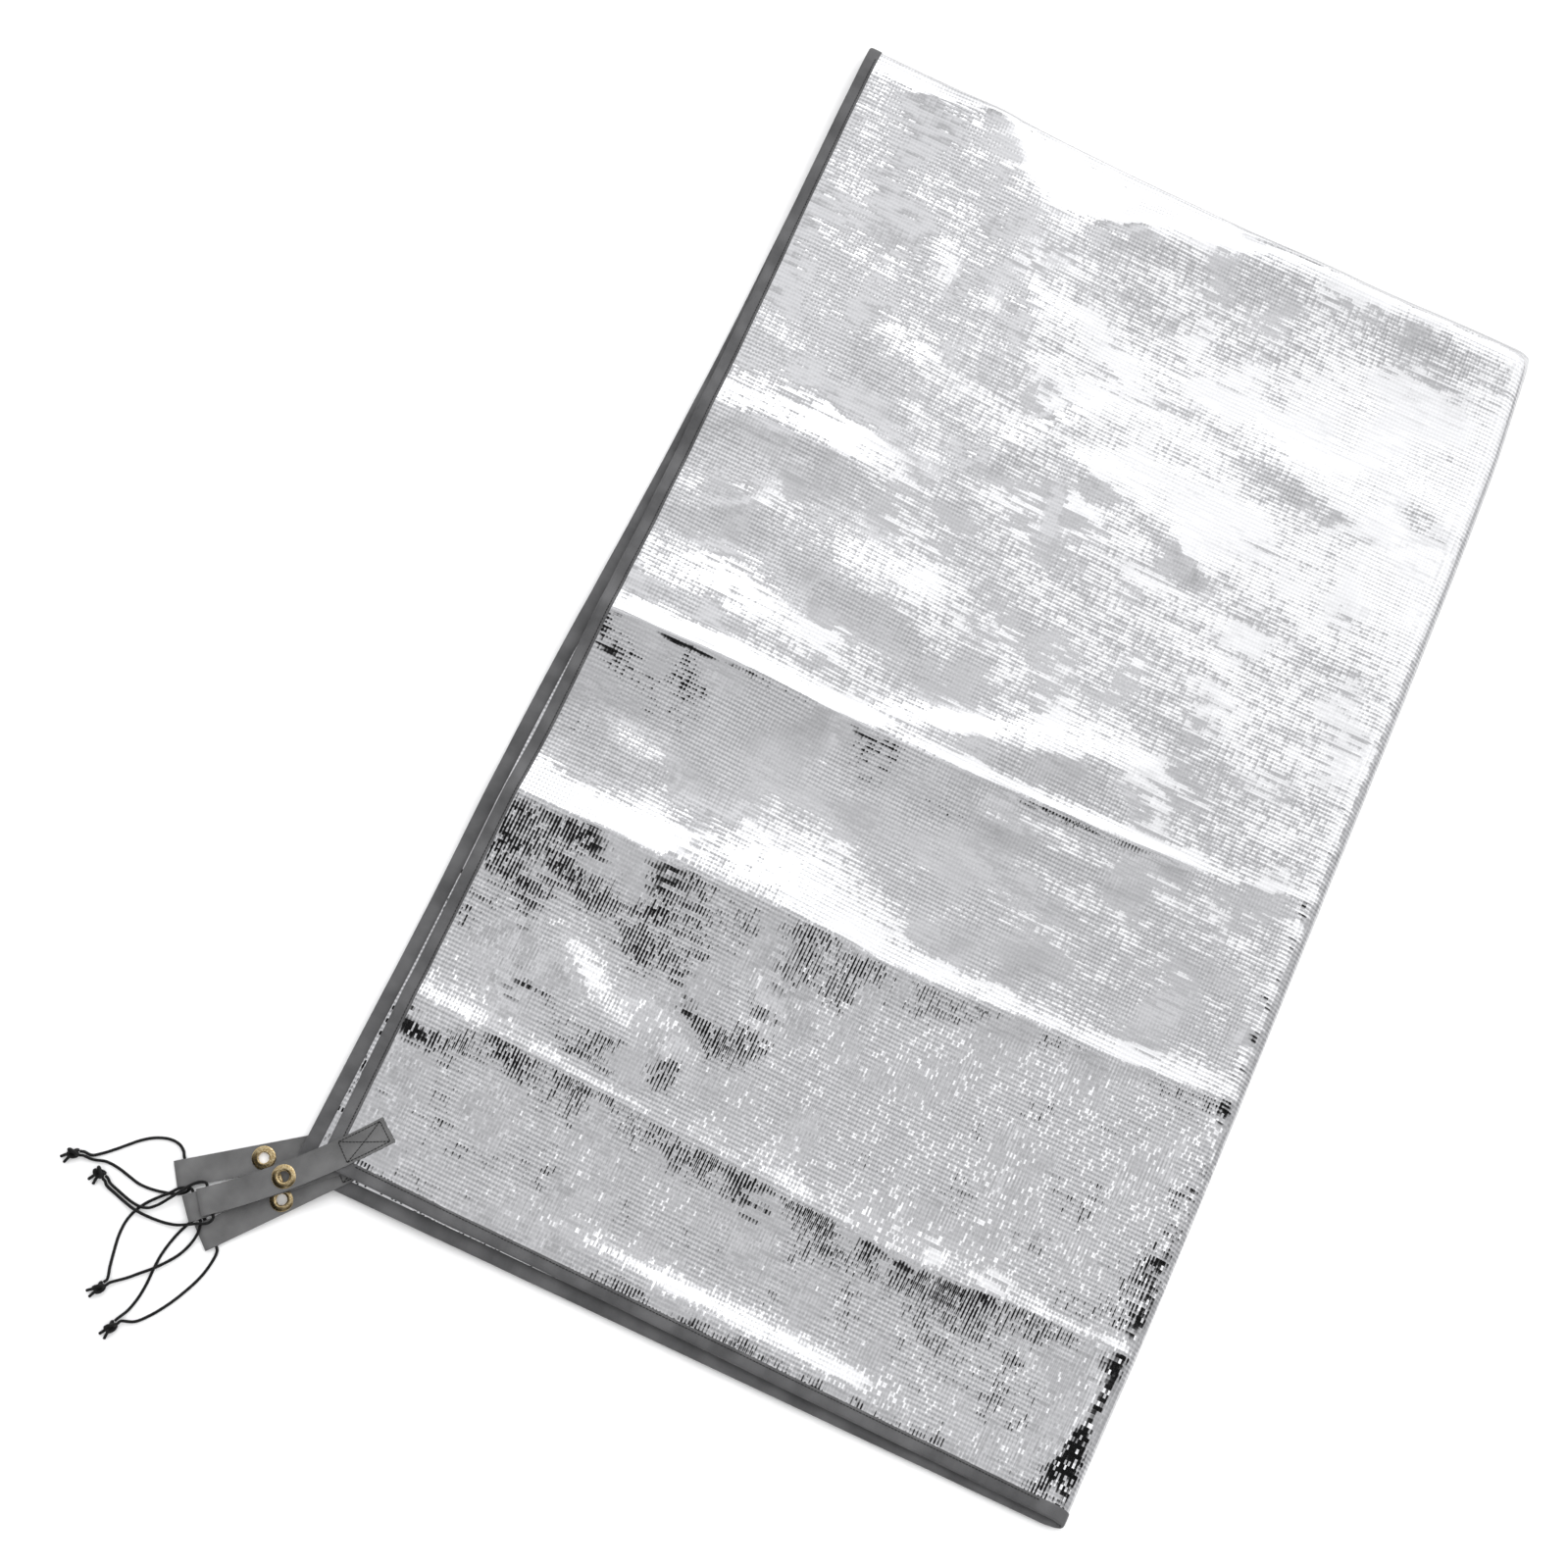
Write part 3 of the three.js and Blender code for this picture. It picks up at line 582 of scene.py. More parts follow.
def metallised_weave():
    """Aluminised film on woven polyethylene tapes: a mirror broken into rows and crossings, each tilted a
    little its own way, with smoother patches where the film bridges the tapes. Its colour holds painted shade
    between the ribs, painted highlights on their crests, and painted shade along the folds."""
    material, tree, shader = new_material("aluminised woven polyethylene")
    flat = add_node(tree, "ShaderNodeUVMap", uv_map="cloth")
    scale = (1 / (WEAVE_ACROSS * MM), 1 / (WEAVE_ALONG * MM), 1)
    tapes = add_node(tree, "ShaderNodeVectorMath", {0: flat, 1: scale}, operation="MULTIPLY")
    turned = add_node(tree, "ShaderNodeVectorMath", {0: tapes, 3: 2 * math.pi}, operation="SCALE")
    waves = add_node(tree, "ShaderNodeVectorMath", {0: turned}, operation="SINE")
    slopes = (TILT_ACROSS, TILT_ALONG, 0)
    domed = add_node(tree, "ShaderNodeVectorMath", {0: waves, 1: slopes}, operation="MULTIPLY")

    # Each length that lies on top leans its own way
    lengths = (1, WEAVE_ALONG / WEAVE_FLOAT, 1)
    floats = add_node(tree, "ShaderNodeVectorMath", {0: tapes, 1: lengths}, operation="MULTIPLY")
    float_cell = add_node(tree, "ShaderNodeVectorMath", {0: floats}, operation="FLOOR")
    lean = add_node(
        tree, "ShaderNodeTexWhiteNoise", {"Vector": float_cell}, output="Color", noise_dimensions="2D"
    )
    spread = (2 * TILT_FLOAT, 2 * TILT_FLOAT, 0)
    least = (-TILT_FLOAT, -TILT_FLOAT, 0)
    crossing = add_node(
        tree, "ShaderNodeVectorMath", {0: lean, 1: spread, 2: least}, operation="MULTIPLY_ADD"
    )
    tilted = add_node(tree, "ShaderNodeVectorMath", {0: domed, 1: crossing}, operation="ADD")

    # Less of that tilt near the end fold, and where the film bridges the tapes
    patches = {"Vector": flat, "Scale": BRIDGE_SCALE, "Detail": 3}
    patch = add_node(tree, "ShaderNodeTexNoise", patches, noise_dimensions="2D")
    bridged = add_node(
        tree,
        "ShaderNodeMapRange",
        {0: patch, 1: BRIDGE_FROM, 2: BRIDGE_TO, 3: BRIDGE_TILT, 4: 1.0},
        interpolation_type="SMOOTHSTEP",
    )
    spot = add_node(tree, "ShaderNodeSeparateXYZ", {0: flat}, output=None)
    from_fold = add_node(tree, "ShaderNodeMath", {0: spot.outputs[1]}, operation="ABSOLUTE")
    calm = add_node(
        tree, "ShaderNodeMapRange", {0: from_fold, 1: CALM_FROM, 2: CALM_TO, 3: TILT_CALM, 4: 1.0}
    )
    along_calm = add_node(tree, "ShaderNodeMath", {0: TILT_SHARES, 1: calm}, operation="SUBTRACT")
    share = add_node(tree, "ShaderNodeCombineXYZ", {0: calm, 1: along_calm})
    calmed = add_node(tree, "ShaderNodeVectorMath", {0: tilted, 1: share}, operation="MULTIPLY")
    woven = add_node(tree, "ShaderNodeVectorMath", {0: calmed, 3: bridged}, operation="SCALE")

    # Rows that roll along their length
    place = add_node(tree, "ShaderNodeSeparateXYZ", {0: tapes}, output=None)
    cell = add_node(tree, "ShaderNodeVectorMath", {0: tapes}, operation="FLOOR")
    row = add_node(tree, "ShaderNodeSeparateXYZ", {0: cell}, output=None)
    along_row = add_node(tree, "ShaderNodeMath", {0: place.outputs[0], 1: ROLL_ALONG}, operation="MULTIPLY")
    own_row = add_node(tree, "ShaderNodeMath", {0: row.outputs[1], 1: ROLL_APART}, operation="MULTIPLY")
    row_place = add_node(tree, "ShaderNodeCombineXYZ", {0: along_row, 1: own_row})
    rolling = add_node(
        tree, "ShaderNodeTexNoise", {"Vector": row_place, "Scale": 1, "Detail": 1}, noise_dimensions="2D"
    )
    roll = add_node(
        tree, "ShaderNodeMath", {0: rolling, 1: TILT_ROW, 2: -TILT_ROW / 2}, operation="MULTIPLY_ADD"
    )
    rolled = add_node(tree, "ShaderNodeCombineXYZ", {1: roll})

    # Stray flecks away from the end fold
    halves = add_node(tree, "ShaderNodeVectorMath", {0: tapes, 1: (2, 1, 1)}, operation="MULTIPLY")
    half_cell = add_node(tree, "ShaderNodeVectorMath", {0: halves}, operation="FLOOR")
    fleck = add_node(tree, "ShaderNodeTexWhiteNoise", {"Vector": half_cell}, noise_dimensions="2D")
    most = add_node(
        tree, "ShaderNodeMapRange", {0: from_fold, 1: CALM_FROM, 2: CALM_TO, 3: 0.0, 4: TILT_FLECK}
    )
    stray = add_node(tree, "ShaderNodeMapRange", {0: fleck, 1: FLECK_FREE, 2: 1.0, 3: 0.0, 4: most})
    strayed = add_node(tree, "ShaderNodeCombineXYZ", {1: stray})
    flecked = add_node(tree, "ShaderNodeVectorMath", {0: rolled, 1: strayed}, operation="ADD")
    tilt = add_node(tree, "ShaderNodeVectorMath", {0: woven, 1: flecked}, operation="ADD")
    # A normal map takes the tilt as a colour round mid grey
    facing = add_node(
        tree, "ShaderNodeVectorMath", {0: tilt, 1: (0.5, 0.5, 0), 2: (0.5, 0.5, 1)}, operation="MULTIPLY_ADD"
    )
    normal = add_node(tree, "ShaderNodeNormalMap", {"Color": facing}, uv_map="cloth")
    tree.links.new(normal, shader.inputs["Normal"])

    # Painted shade between the ribs and painted highlights on their crests, and painted shade beside the folds
    crests = add_node(tree, "ShaderNodeVectorMath", {0: turned}, operation="COSINE")
    painted_rib_light = add_node(
        tree, "ShaderNodeVectorMath", {0: crests, 1: RIB_PAINTED_SHADE_WEIGHTS}, output="Value", operation="DOT_PRODUCT"
    )
    # The painted rib light and shade is weaker where the film bridges the tapes
    painted_rib_light_bridged = add_node(tree, "ShaderNodeMath", {0: painted_rib_light, 1: bridged}, operation="MULTIPLY")
    painted_rib_shade = add_node(tree, "ShaderNodeMapRange", {0: painted_rib_light_bridged, 1: RIB_PAINTED_SHADE_LOW, 2: RIB_PAINTED_HIGHLIGHT_HIGH, 3: 0.0, 4: 1.0})
    # The ramp's dark end is painted shade between the ribs, and its bright end is a painted highlight on the
    # crests
    ramp = add_node(tree, "ShaderNodeValToRGB", {0: painted_rib_shade}, output=None)
    set_tones(ramp, (0, "#c4c5c7"), (1, "#fcfcfd"))
    # Painted shade: the film's colour grows darker towards the side and end folds
    from_side = add_node(tree, "ShaderNodeMath", {0: spot.outputs[0]}, operation="ABSOLUTE")
    nearest = add_node(tree, "ShaderNodeMath", {0: from_side, 1: from_fold}, operation="MINIMUM")
    fold_painted_shade = add_node(tree, "ShaderNodeMapRange", {0: nearest, 1: FOLD_PAINTED_SHADE_FROM, 2: FOLD_PAINTED_SHADE_TO, 3: FOLD_PAINTED_SHADE, 4: 1.0})
    film = add_node(tree, "ShaderNodeVectorMath", {0: ramp.outputs[0], 3: fold_painted_shade}, operation="SCALE")
    tree.links.new(film, shader.inputs["Base Color"])
    shader.inputs["Metallic"].default_value = 1
    shader.inputs["Roughness"].default_value = 0.08
    return material


# Pitch of the yarns in the tape and the webbing, a guess: the photo is too coarse to show them
THREAD_PITCH = 1.1
# How many worn spots to a metre, and how much the yarns change the tone
WEAR_SCALE = 45
YARN_TONE = 0.14


def woven_polyester(name, dark, light, roughness):
    """Flat woven polyester: matt crossed yarns with a soft sheen, a little lighter where it is rubbed."""
    material, tree, shader = new_material(name)
    flat = add_node(tree, "ShaderNodeUVMap", uv_map="cloth")
    turned = add_node(
        tree, "ShaderNodeVectorMath", {0: flat, 3: 2 * math.pi / (THREAD_PITCH * MM)}, operation="SCALE"
    )
    waves = add_node(tree, "ShaderNodeVectorMath", {0: turned}, operation="COSINE")
    split = add_node(tree, "ShaderNodeSeparateXYZ", {0: waves}, output=None)
    yarns = add_node(tree, "ShaderNodeMath", {0: split.outputs[0], 1: split.outputs[1]}, operation="MULTIPLY")
    wear = {"Vector": flat, "Scale": WEAR_SCALE, "Detail": 4}
    worn = add_node(tree, "ShaderNodeTexNoise", wear, noise_dimensions="2D")
    tone = add_node(tree, "ShaderNodeMath", {0: yarns, 1: YARN_TONE, 2: worn}, operation="MULTIPLY_ADD")
    ramp = add_node(tree, "ShaderNodeValToRGB", {0: tone}, output=None)
    set_tones(ramp, (0.25, dark), (0.75, light))
    tree.links.new(ramp.outputs[0], shader.inputs["Base Color"])
    bump = add_node(tree, "ShaderNodeBump", {"Strength": 0.6, "Distance": 0.08 * MM, "Height": yarns})
    tree.links.new(bump, shader.inputs["Normal"])
    shader.inputs["Roughness"].default_value = roughness
    shader.inputs["Sheen Weight"].default_value = 0.25
    shader.inputs["Sheen Roughness"].default_value = 0.4
    return material


# Roughness of the brass in its dull marks and between them
BRASS_DULL = 0.34
BRASS_BRIGHT = 0.2


def stamped_brass():
    """Stamped and rolled brass: warm and bright, with fine marks that are darker and duller."""
    material, tree, shader = new_material("stamped brass")
    place = add_node(tree, "ShaderNodeTexCoord", output="Object")
    marks = add_node(tree, "ShaderNodeTexNoise", {"Vector": place, "Scale": 900, "Detail": 3})
    ramp = add_node(tree, "ShaderNodeValToRGB", {0: marks}, output=None)
    set_tones(ramp, (0.3, "#a5874f"), (0.65, "#ecd9ae"))
    tree.links.new(ramp.outputs[0], shader.inputs["Base Color"])
    rough = add_node(
        tree,
        "ShaderNodeMapRange",
        {0: marks, 1: NOISE_LOW, 2: NOISE_HIGH, 3: BRASS_DULL, 4: BRASS_BRIGHT},
    )
    tree.links.new(rough, shader.inputs["Roughness"])
    shader.inputs["Metallic"].default_value = 1
    return material


# A strand of the braid repeats when its way round and along the cord adds up to this, which is a guess
BRAID_PITCH = 1.6


def braided_elastic():
    """Polyester braid over a rubber core: dull black, with crossing strands round the cord."""
    material, tree, shader = new_material("braided elastic cord")
    flat = add_node(tree, "ShaderNodeUVMap", uv_map="cloth")
    split = add_node(tree, "ShaderNodeSeparateXYZ", {0: flat}, output=None)
    turn = 2 * math.pi / (BRAID_PITCH * MM)
    down = add_node(tree, "ShaderNodeMath", {0: split.outputs[0], 1: split.outputs[1]}, operation="ADD")
    up = add_node(tree, "ShaderNodeMath", {0: split.outputs[0], 1: split.outputs[1]}, operation="SUBTRACT")
    down_angle = add_node(tree, "ShaderNodeMath", {0: down, 1: turn}, operation="MULTIPLY")
    up_angle = add_node(tree, "ShaderNodeMath", {0: up, 1: turn}, operation="MULTIPLY")
    down_wave = add_node(tree, "ShaderNodeMath", {0: down_angle}, operation="COSINE")
    up_wave = add_node(tree, "ShaderNodeMath", {0: up_angle}, operation="COSINE")
    braid = add_node(tree, "ShaderNodeMath", {0: down_wave, 1: up_wave}, operation="MULTIPLY")
    ramp = add_node(tree, "ShaderNodeValToRGB", {0: braid}, output=None)
    set_tones(ramp, (0, "#050505"), (1, "#111111"))
    tree.links.new(ramp.outputs[0], shader.inputs["Base Color"])
    bump = add_node(tree, "ShaderNodeBump", {"Strength": 0.7, "Distance": 0.12 * MM, "Height": braid})
    tree.links.new(bump, shader.inputs["Normal"])
    shader.inputs["Roughness"].default_value = 0.7
    return material


def cut_rubber():
    """The pale rubber core that shows where a cord is cut."""
    material, tree, shader = new_material("cut rubber core")
    place = add_node(tree, "ShaderNodeTexCoord", output="Object")
    grain = add_node(tree, "ShaderNodeTexNoise", {"Vector": place, "Scale": 2500, "Detail": 2})
    ramp = add_node(tree, "ShaderNodeValToRGB", {0: grain}, output=None)
    set_tones(ramp, (0, "#9c9a94"), (1, "#e6e4de"))
    tree.links.new(ramp.outputs[0], shader.inputs["Base Color"])
    shader.inputs["Roughness"].default_value = 0.6
    return material


# Steps of the sheet's mesh: across it on the lower half, round the side fold and on the upper half; along it
# on the outer layers, round the end fold and on the inner layers; and how far its rows gather at the crests
ACROSS_STEPS = (16, 2.7, 5)
OUTER_STEP = 4.8
END_FOLD_STEP = 1.4
INNER_STEP = 18
CREST_GATHER = 0.6


def warp_to_creases(distance, x):
    """A row's distance from the end fold, drawn along so that rows lie on the crests."""
    rows = [0] + [curve(crest, 0, 1) for crest in CREASES] + [HALF_LENGTH]
    drawn = [0] + [curve(crest, x, 1) for crest in CREASES] + [HALF_LENGTH]
    i = next(i for i in range(len(rows) - 1) if distance <= rows[i + 1])
    return lerp(drawn[i], drawn[i + 1], (distance - rows[i]) / (rows[i + 1] - rows[i]))


def row_distances(step):
    """Distances from the end fold, on every crest and closer together near them."""
    anchors = [END_TURN] + [curve(crest, 0, 1) for crest in CREASES] + [HALF_LENGTH]
    places = []
    for start, stop in zip(anchors, anchors[1:]):
        count = math.ceil((stop - start) / step)
        for i in range(count):
            share = i / count
            gathered = share - CREST_GATHER * math.sin(2 * math.pi * share) / (2 * math.pi)
            places.append(lerp(start, stop, gathered))
    return places + [HALF_LENGTH]


def make_foil_sheet(material):
    across = folded_run(HALF_WIDTH, SIDE_TURN, ACROSS_STEPS)
    outer = [-distance for distance in reversed(row_distances(OUTER_STEP))]
    along = outer + spaced(-END_TURN, END_TURN, END_FOLD_STEP)[1:] + row_distances(INNER_STEP)

    def place(column, row):
        if abs(row) > END_TURN:
            row = math.copysign(warp_to_creases(abs(row), HALF_WIDTH / 2 - abs(column)), row)
        return cloth_point(column, row), (column * MM, row * MM)

    sheet = cloth_grid("foil_sheet_cloth", across, along, place)
    apply_modifier(sheet, "SOLIDIFY", thickness=SHEET * MM, offset=0)
    return finish_piece(sheet, "foil", material, "foil_sheet")


def tape_spot(share):
    """Place on the tape's folded section."""
    at = share * (len(TAPE_SECTION) - 1)
    row = min(int(at), len(TAPE_SECTION) - 2)
    start = TAPE_SECTION[row]
    end = TAPE_SECTION[row + 1]
    return [lerp(start[i], end[i], at - row) for i in (0, 1)]


def make_tape(name, node, run, point, material):
    """A tape folded over an edge: run lists its places, and point gives a place's position."""
    around = [i / (len(TAPE_SECTION) - 1) for i in range(len(TAPE_SECTION))]

    def place(share, at):
        out, off = tape_spot(share)
        wander = TAPE_WANDER * noise.noise((at / TAPE_WANDER_LENGTH, TAPE_WANDER_LAYER, 0))
        out += wander * (1 if abs(off) > TAPE_TURN_OFF else TAPE_TURN_WANDER)
        return point(at, out, off), (share * 2 * TAPE_WIDTH * MM, at * MM)

    tape = cloth_grid(name, around, run, place)
    apply_modifier(tape, "SOLIDIFY", thickness=TAPE * MM, offset=0)
    return finish_piece(tape, "binding_tape", material, node)


def make_tapes(material):
    long_run = folded_run(HALF_LENGTH + TAPE_END, END_TURN, LONG_TAPE_STEPS)
    short_run = folded_run(HALF_WIDTH - TAPE_WIDTH - CLEARANCE, SIDE_TURN, SHORT_TAPE_STEPS)
    edges = [
        ("long_binding_upper", long_run, lambda at, out, off: cloth_point(HALF_WIDTH + out, at, off)),
        ("long_binding_lower", long_run, lambda at, out, off: cloth_point(-HALF_WIDTH - out, at, off)),
        ("short_binding_outer", short_run, lambda at, out, off: cloth_point(at, -HALF_LENGTH - out, off)),
        ("short_binding_inner", short_run, lambda at, out, off: cloth_point(at, HALF_LENGTH + out, off)),
    ]
    return [make_tape(f"{node}_tape", node, run, point, material) for node, run, point in edges]


def tab_height(tab, at):
    """Height of a tab's middle at a distance from its folded end."""
    heights = tab["heights"]
    if at <= TAB_STATIONS[0][0]:
        return heights[0]
    at = min(at, TAB_LENGTH)
    row = next(i for i in range(len(TAB_STATIONS) - 1) if at <= TAB_STATIONS[i + 1][0])
    (start, low), (stop, high) = TAB_STATIONS[row], TAB_STATIONS[row + 1]
    return lerp(heights[low], heights[high], (at - start) / (stop - start))


def tab_point(tab, at, beside, off):
    """A place on a tab: at from its folded end, beside to its left, off from its middle."""
    bend = math.radians(tab["turn"]) / TAB_LENGTH
    middle = math.radians(tab["heading"]) + bend * at / 2
    heading = math.radians(tab["heading"]) + bend * at
    soft = sum(tab_height(tab, at + step) for step in TAB_EASE) / len(TAB_EASE)
    return Vector((
        tab["x"] + at * math.cos(middle) - beside * math.sin(heading),
        tab["y"] + at * math.sin(middle) + beside * math.cos(heading),
        soft + off,
    )) * MM


def make_tab(number, tab, material):
    """Webbing folded double round its cord, with a hole punched for the eyelet."""
    flat_run = spaced(TAB_LOOP_END, TAB_LENGTH, TAB_STEP) + [TAB_LENGTH]
    upper = [(at, PLY_OFF) for at in reversed(flat_run)] + TAB_LOOP
    path = upper + [(at, -off) for at, off in reversed(upper[:-1])]
    lengths = [0.0]
    for start, end in zip(path, path[1:]):
        lengths.append(lengths[-1] + math.dist(start, end))

    def place(column, row):
        at, off = path[row]
        return tab_point(tab, at, column, off), (column * MM, lengths[row] * MM)

    webbing = cloth_grid(f"corner_tab_{number}_webbing", TAB_ACROSS, list(range(len(path))), place)
    apply_modifier(webbing, "SOLIDIFY", thickness=PLY * MM, offset=0)
    deselect()
    bpy.ops.mesh.primitive_cylinder_add(
        vertices=PUNCH_SIDES,
        radius=PUNCH_RADIUS * MM,
        depth=PUNCH_DEPTH * MM,
        location=tab_point(tab, EYELET_AT, 0, 0),
    )
    punch = bpy.context.object
    apply_modifier(webbing, "BOOLEAN", object=punch, operation="DIFFERENCE", solver="EXACT")
    bpy.data.objects.remove(punch)
    return finish_piece(webbing, "webbing", material, f"corner_tab_{number}")


def make_eyelet(number, tab, front_up, material):
    """Two brass rings rolled together: a circle drawn out and in along the section."""
    deselect()
    first_radius, first_height = EYELET_SECTION[0]
    bpy.ops.mesh.primitive_circle_add(vertices=EYELET_SIDES, radius=first_radius * MM)
    eyelet = bpy.context.object
    eyelet.name = f"eyelet_{number}_ring"
    eyelet.data.name = eyelet.name
    bpy.ops.object.mode_set(mode="EDIT")
    bpy.ops.mesh.select_all(action="SELECT")
    bpy.ops.transform.translate(value=(0, 0, first_height * MM))
    for (radius, height), (next_radius, next_height) in zip(EYELET_SECTION, EYELET_SECTION[1:]):
        bpy.ops.mesh.extrude_region_move(
            TRANSFORM_OT_translate={"value": (0, 0, (next_height - height) * MM)}
        )
        growth = next_radius / radius
        bpy.ops.transform.resize(value=(growth, growth, 1), center_override=(0, 0, 0))
    bpy.ops.mesh.select_all(action="SELECT")
    bpy.ops.mesh.remove_doubles(threshold=0.01 * MM)
    if not front_up:
        bpy.ops.transform.resize(value=(1, 1, -1), center_override=(0, 0, 0))
    bpy.ops.transform.translate(value=tab_point(tab, EYELET_AT, 0, 0))
    bpy.ops.mesh.normals_make_consistent(inside=False)
    bpy.ops.object.mode_set(mode="OBJECT")
    return finish_piece(eyelet, "brass", material, f"eyelet_{number}")


def round_curve(points, step):
    """Points about a step apart on the smooth centripetal curve through the given ones."""
    ends = [2 * points[0] - points[1]] + points + [2 * points[-1] - points[-2]]
    found = []
    for a, b, c, d in zip(ends, ends[1:], ends[2:], ends[3:]):
        t1 = (b - a).length ** 0.5
        t2 = t1 + (c - b).length ** 0.5
        t3 = t2 + (d - c).length ** 0.5
        for t in spaced(t1, t2, (t2 - t1) * step / (c - b).length):
            ab = a.lerp(b, t / t1)
            bc = b.lerp(c, (t - t1) / (t2 - t1))
            cd = c.lerp(d, (t - t2) / (t3 - t2))
            found.append(ab.lerp(bc, t / t2).lerp(bc.lerp(cd, (t - t1) / (t3 - t1)), (t - t1) / (t2 - t1)))
    return found + [points[-1]]


def tube(path, radius, sides, closed=False):
    """Points, faces and UV spots of a round bar along a path, in millimetres."""
    count = len(path)
    points = []
    spots = []
    travelled = 0
    side = None
    for i, middle in enumerate(path):
        after = path[(i + 1) % count] if closed else path[min(i + 1, count - 1)]
        before = path[i - 1] if closed else path[max(i - 1, 0)]
        forward = (after - before).normalized()
        side = side or forward.orthogonal()
        side = (side - forward * side.dot(forward)).normalized()
        up = forward.cross(side)
        for k in range(sides):
            angle = 2 * math.pi * k / sides
            points.append(middle + (side * math.cos(angle) + up * math.sin(angle)) * radius)
            spots.append((radius * angle, travelled))
        travelled += (path[(i + 1) % count] - middle).length
    faces = []
    for i in range(count if closed else count - 1):
        for k in range(sides):
            a = i * sides
            b = (i + 1) % count * sides
            faces.append((a + k, a + (k + 1) % sides, b + (k + 1) % sides, b + k))
    if not closed:
        faces.append(tuple(reversed(range(sides))))
        faces.append(tuple(range((count - 1) * sides, count * sides)))
    return points, faces, spots


def bars_object(name, bars):
    """One mesh of several bars, with the UV map of their surfaces in metres."""
    points = []
    faces = []
    spots = []
    for bar_points, bar_faces, bar_spots in bars:
        faces += [tuple(len(points) + i for i in face) for face in bar_faces]
        points += [point * MM for point in bar_points]
        spots += [(u * MM, v * MM) for u, v in bar_spots]
    mesh = bpy.data.meshes.new(name)
    mesh.from_pydata(points, [], faces)
    uv_map = mesh.uv_layers.new(name="cloth")
    for loop in mesh.loops:
        uv_map.data[loop.index].uv = spots[loop.vertex_index]
    piece = bpy.data.objects.new(name, mesh)
    bpy.context.collection.objects.link(piece)
    return piece


def knot_point(knot, degrees, out, beside, height):
    heading = math.radians(degrees)
    return Vector((
        knot["x"] + out * math.cos(heading) - beside * math.sin(heading),
        knot["y"] + out * math.sin(heading) + beside * math.cos(heading),
        height,
    ))


def make_cord(number, row, tab, material):
    """From the knot, through the folded end of the tab and back to the knot."""
    knot = row["knot"]
    apart = CORD / 2 + CLEARANCE

    def strand_end(side):
        return [
            knot_point(knot, knot["heading"], -KNOT_LENGTH / 2 - gap, side * apart, KNOT_WIDTH / 2)
            for gap in (CLEARANCE, KNOT_LEAD)
        ]

    through = [tab_point(tab, CORD_AT, share * TAB_WIDTH / 2, 0) / MM for share in CORD_THROUGH]
    left = [Vector(point) for point in row["left"]]
    right = [Vector(point) for point in row["right"]]
    path = round_curve(strand_end(-1) + left + through + right + strand_end(1)[::-1], CORD_STEP)
    cord = bars_object(f"elastic_cord_{number}_braid", [tube(path, CORD / 2, CORD_SIDES)])
    finish_piece(cord, "elastic", material, f"elastic_cord_{number}")
    length = sum((b - a).length for a, b in zip(path, path[1:]))
    return cord, [point * MM for point in path], length * MM


# The strand of an overhand knot, its times round and through, and how far out it winds and swings, as shares
# of the knot's half width less the strand
KNOT_STEPS = 96
KNOT_SIDES = 8
KNOT_STRAND = 1.15
KNOT_ROUNDS = 2
KNOT_PASSES = 3
KNOT_WIND = 0.66
KNOT_SWING = 0.34
TAIL_STEP = 1


def make_knot(number, knot, braid, rubber):
    """An overhand knot pulled tight, with its two cut tails, whose ends show the rubber."""
    heading = math.radians(knot["heading"])
    forward = Vector((math.cos(heading), math.sin(heading), 0))
    beside = Vector((-math.sin(heading), math.cos(heading), 0))
    middle = Vector((knot["x"], knot["y"], KNOT_WIDTH / 2))
    wide = KNOT_WIDTH / 2 - KNOT_STRAND
    turns = []
    for i in range(KNOT_STEPS):
        t = 2 * math.pi * i / KNOT_STEPS
        out = wide * (KNOT_WIND + KNOT_SWING * math.cos(KNOT_PASSES * t))
        along = (KNOT_LENGTH / 2 - KNOT_STRAND) * math.sin(KNOT_PASSES * t)
        rise = Vector((0, 0, out * math.sin(KNOT_ROUNDS * t)))
        turns.append(middle + forward * along + beside * out * math.cos(KNOT_ROUNDS * t) + rise)
    bars = [tube(turns, KNOT_STRAND, KNOT_SIDES, closed=True)]
    for side in (-1, 1):
        route = [
            knot_point(knot, knot["tails"], out * KNOT_TAIL, side * aside, KNOT_WIDTH / 2 - drop)
            for out, aside, drop in TAIL_ROUTE
        ]
        bars.append(tube(round_curve(route, TAIL_STEP), CORD / 2, KNOT_SIDES))
    piece = bars_object(f"cord_knot_{number}_overhand", bars)
    finish_piece(piece, "elastic", braid, f"cord_knot_{number}")
    piece.data.materials.append(rubber)
    for polygon in piece.data.polygons:
        # Only the cut ends have more than four corners
        if len(polygon.vertices) > 4:
            polygon.material_index = 1
    return piece


# Stitches: their pitch, the thread, the share of the pitch left free at each end, and the rise of the thread
# over the cloth at shares of a stitch, in threads
STITCH = 2.6
THREAD = 0.7
THREAD_SIDES = 6
STITCH_GAP = 0.15
STITCH_SHAPE = [(0, -0.4), (0.2, 0.5), (0.8, 0.5), (1, -0.4)]


def stitch_bar(start, end, lift):
    """One stitch: a short thread that dips at both ends. Points are in metres."""
    start = start / MM
    end = end / MM
    up = lift.normalized() * THREAD
    path = [start.lerp(end, share) + up * rise for share, rise in STITCH_SHAPE]
    return tube(path, THREAD / 2, THREAD_SIDES)


def make_stitches(name, lines, material):
    """Stitches along lines on the cloth: a function of the distance along each, its length, and which way is
    out of the cloth."""
    bars = []
    for point, length, lift in lines:
        for at in spaced(0, length, STITCH):
            start = point(at + STITCH_GAP * STITCH)
            end = point(at + (1 - STITCH_GAP) * STITCH)
            bars.append(stitch_bar(start, end, lift))
    piece = bars_object(name, bars)
    return finish_piece(piece, "binding_tape", material)


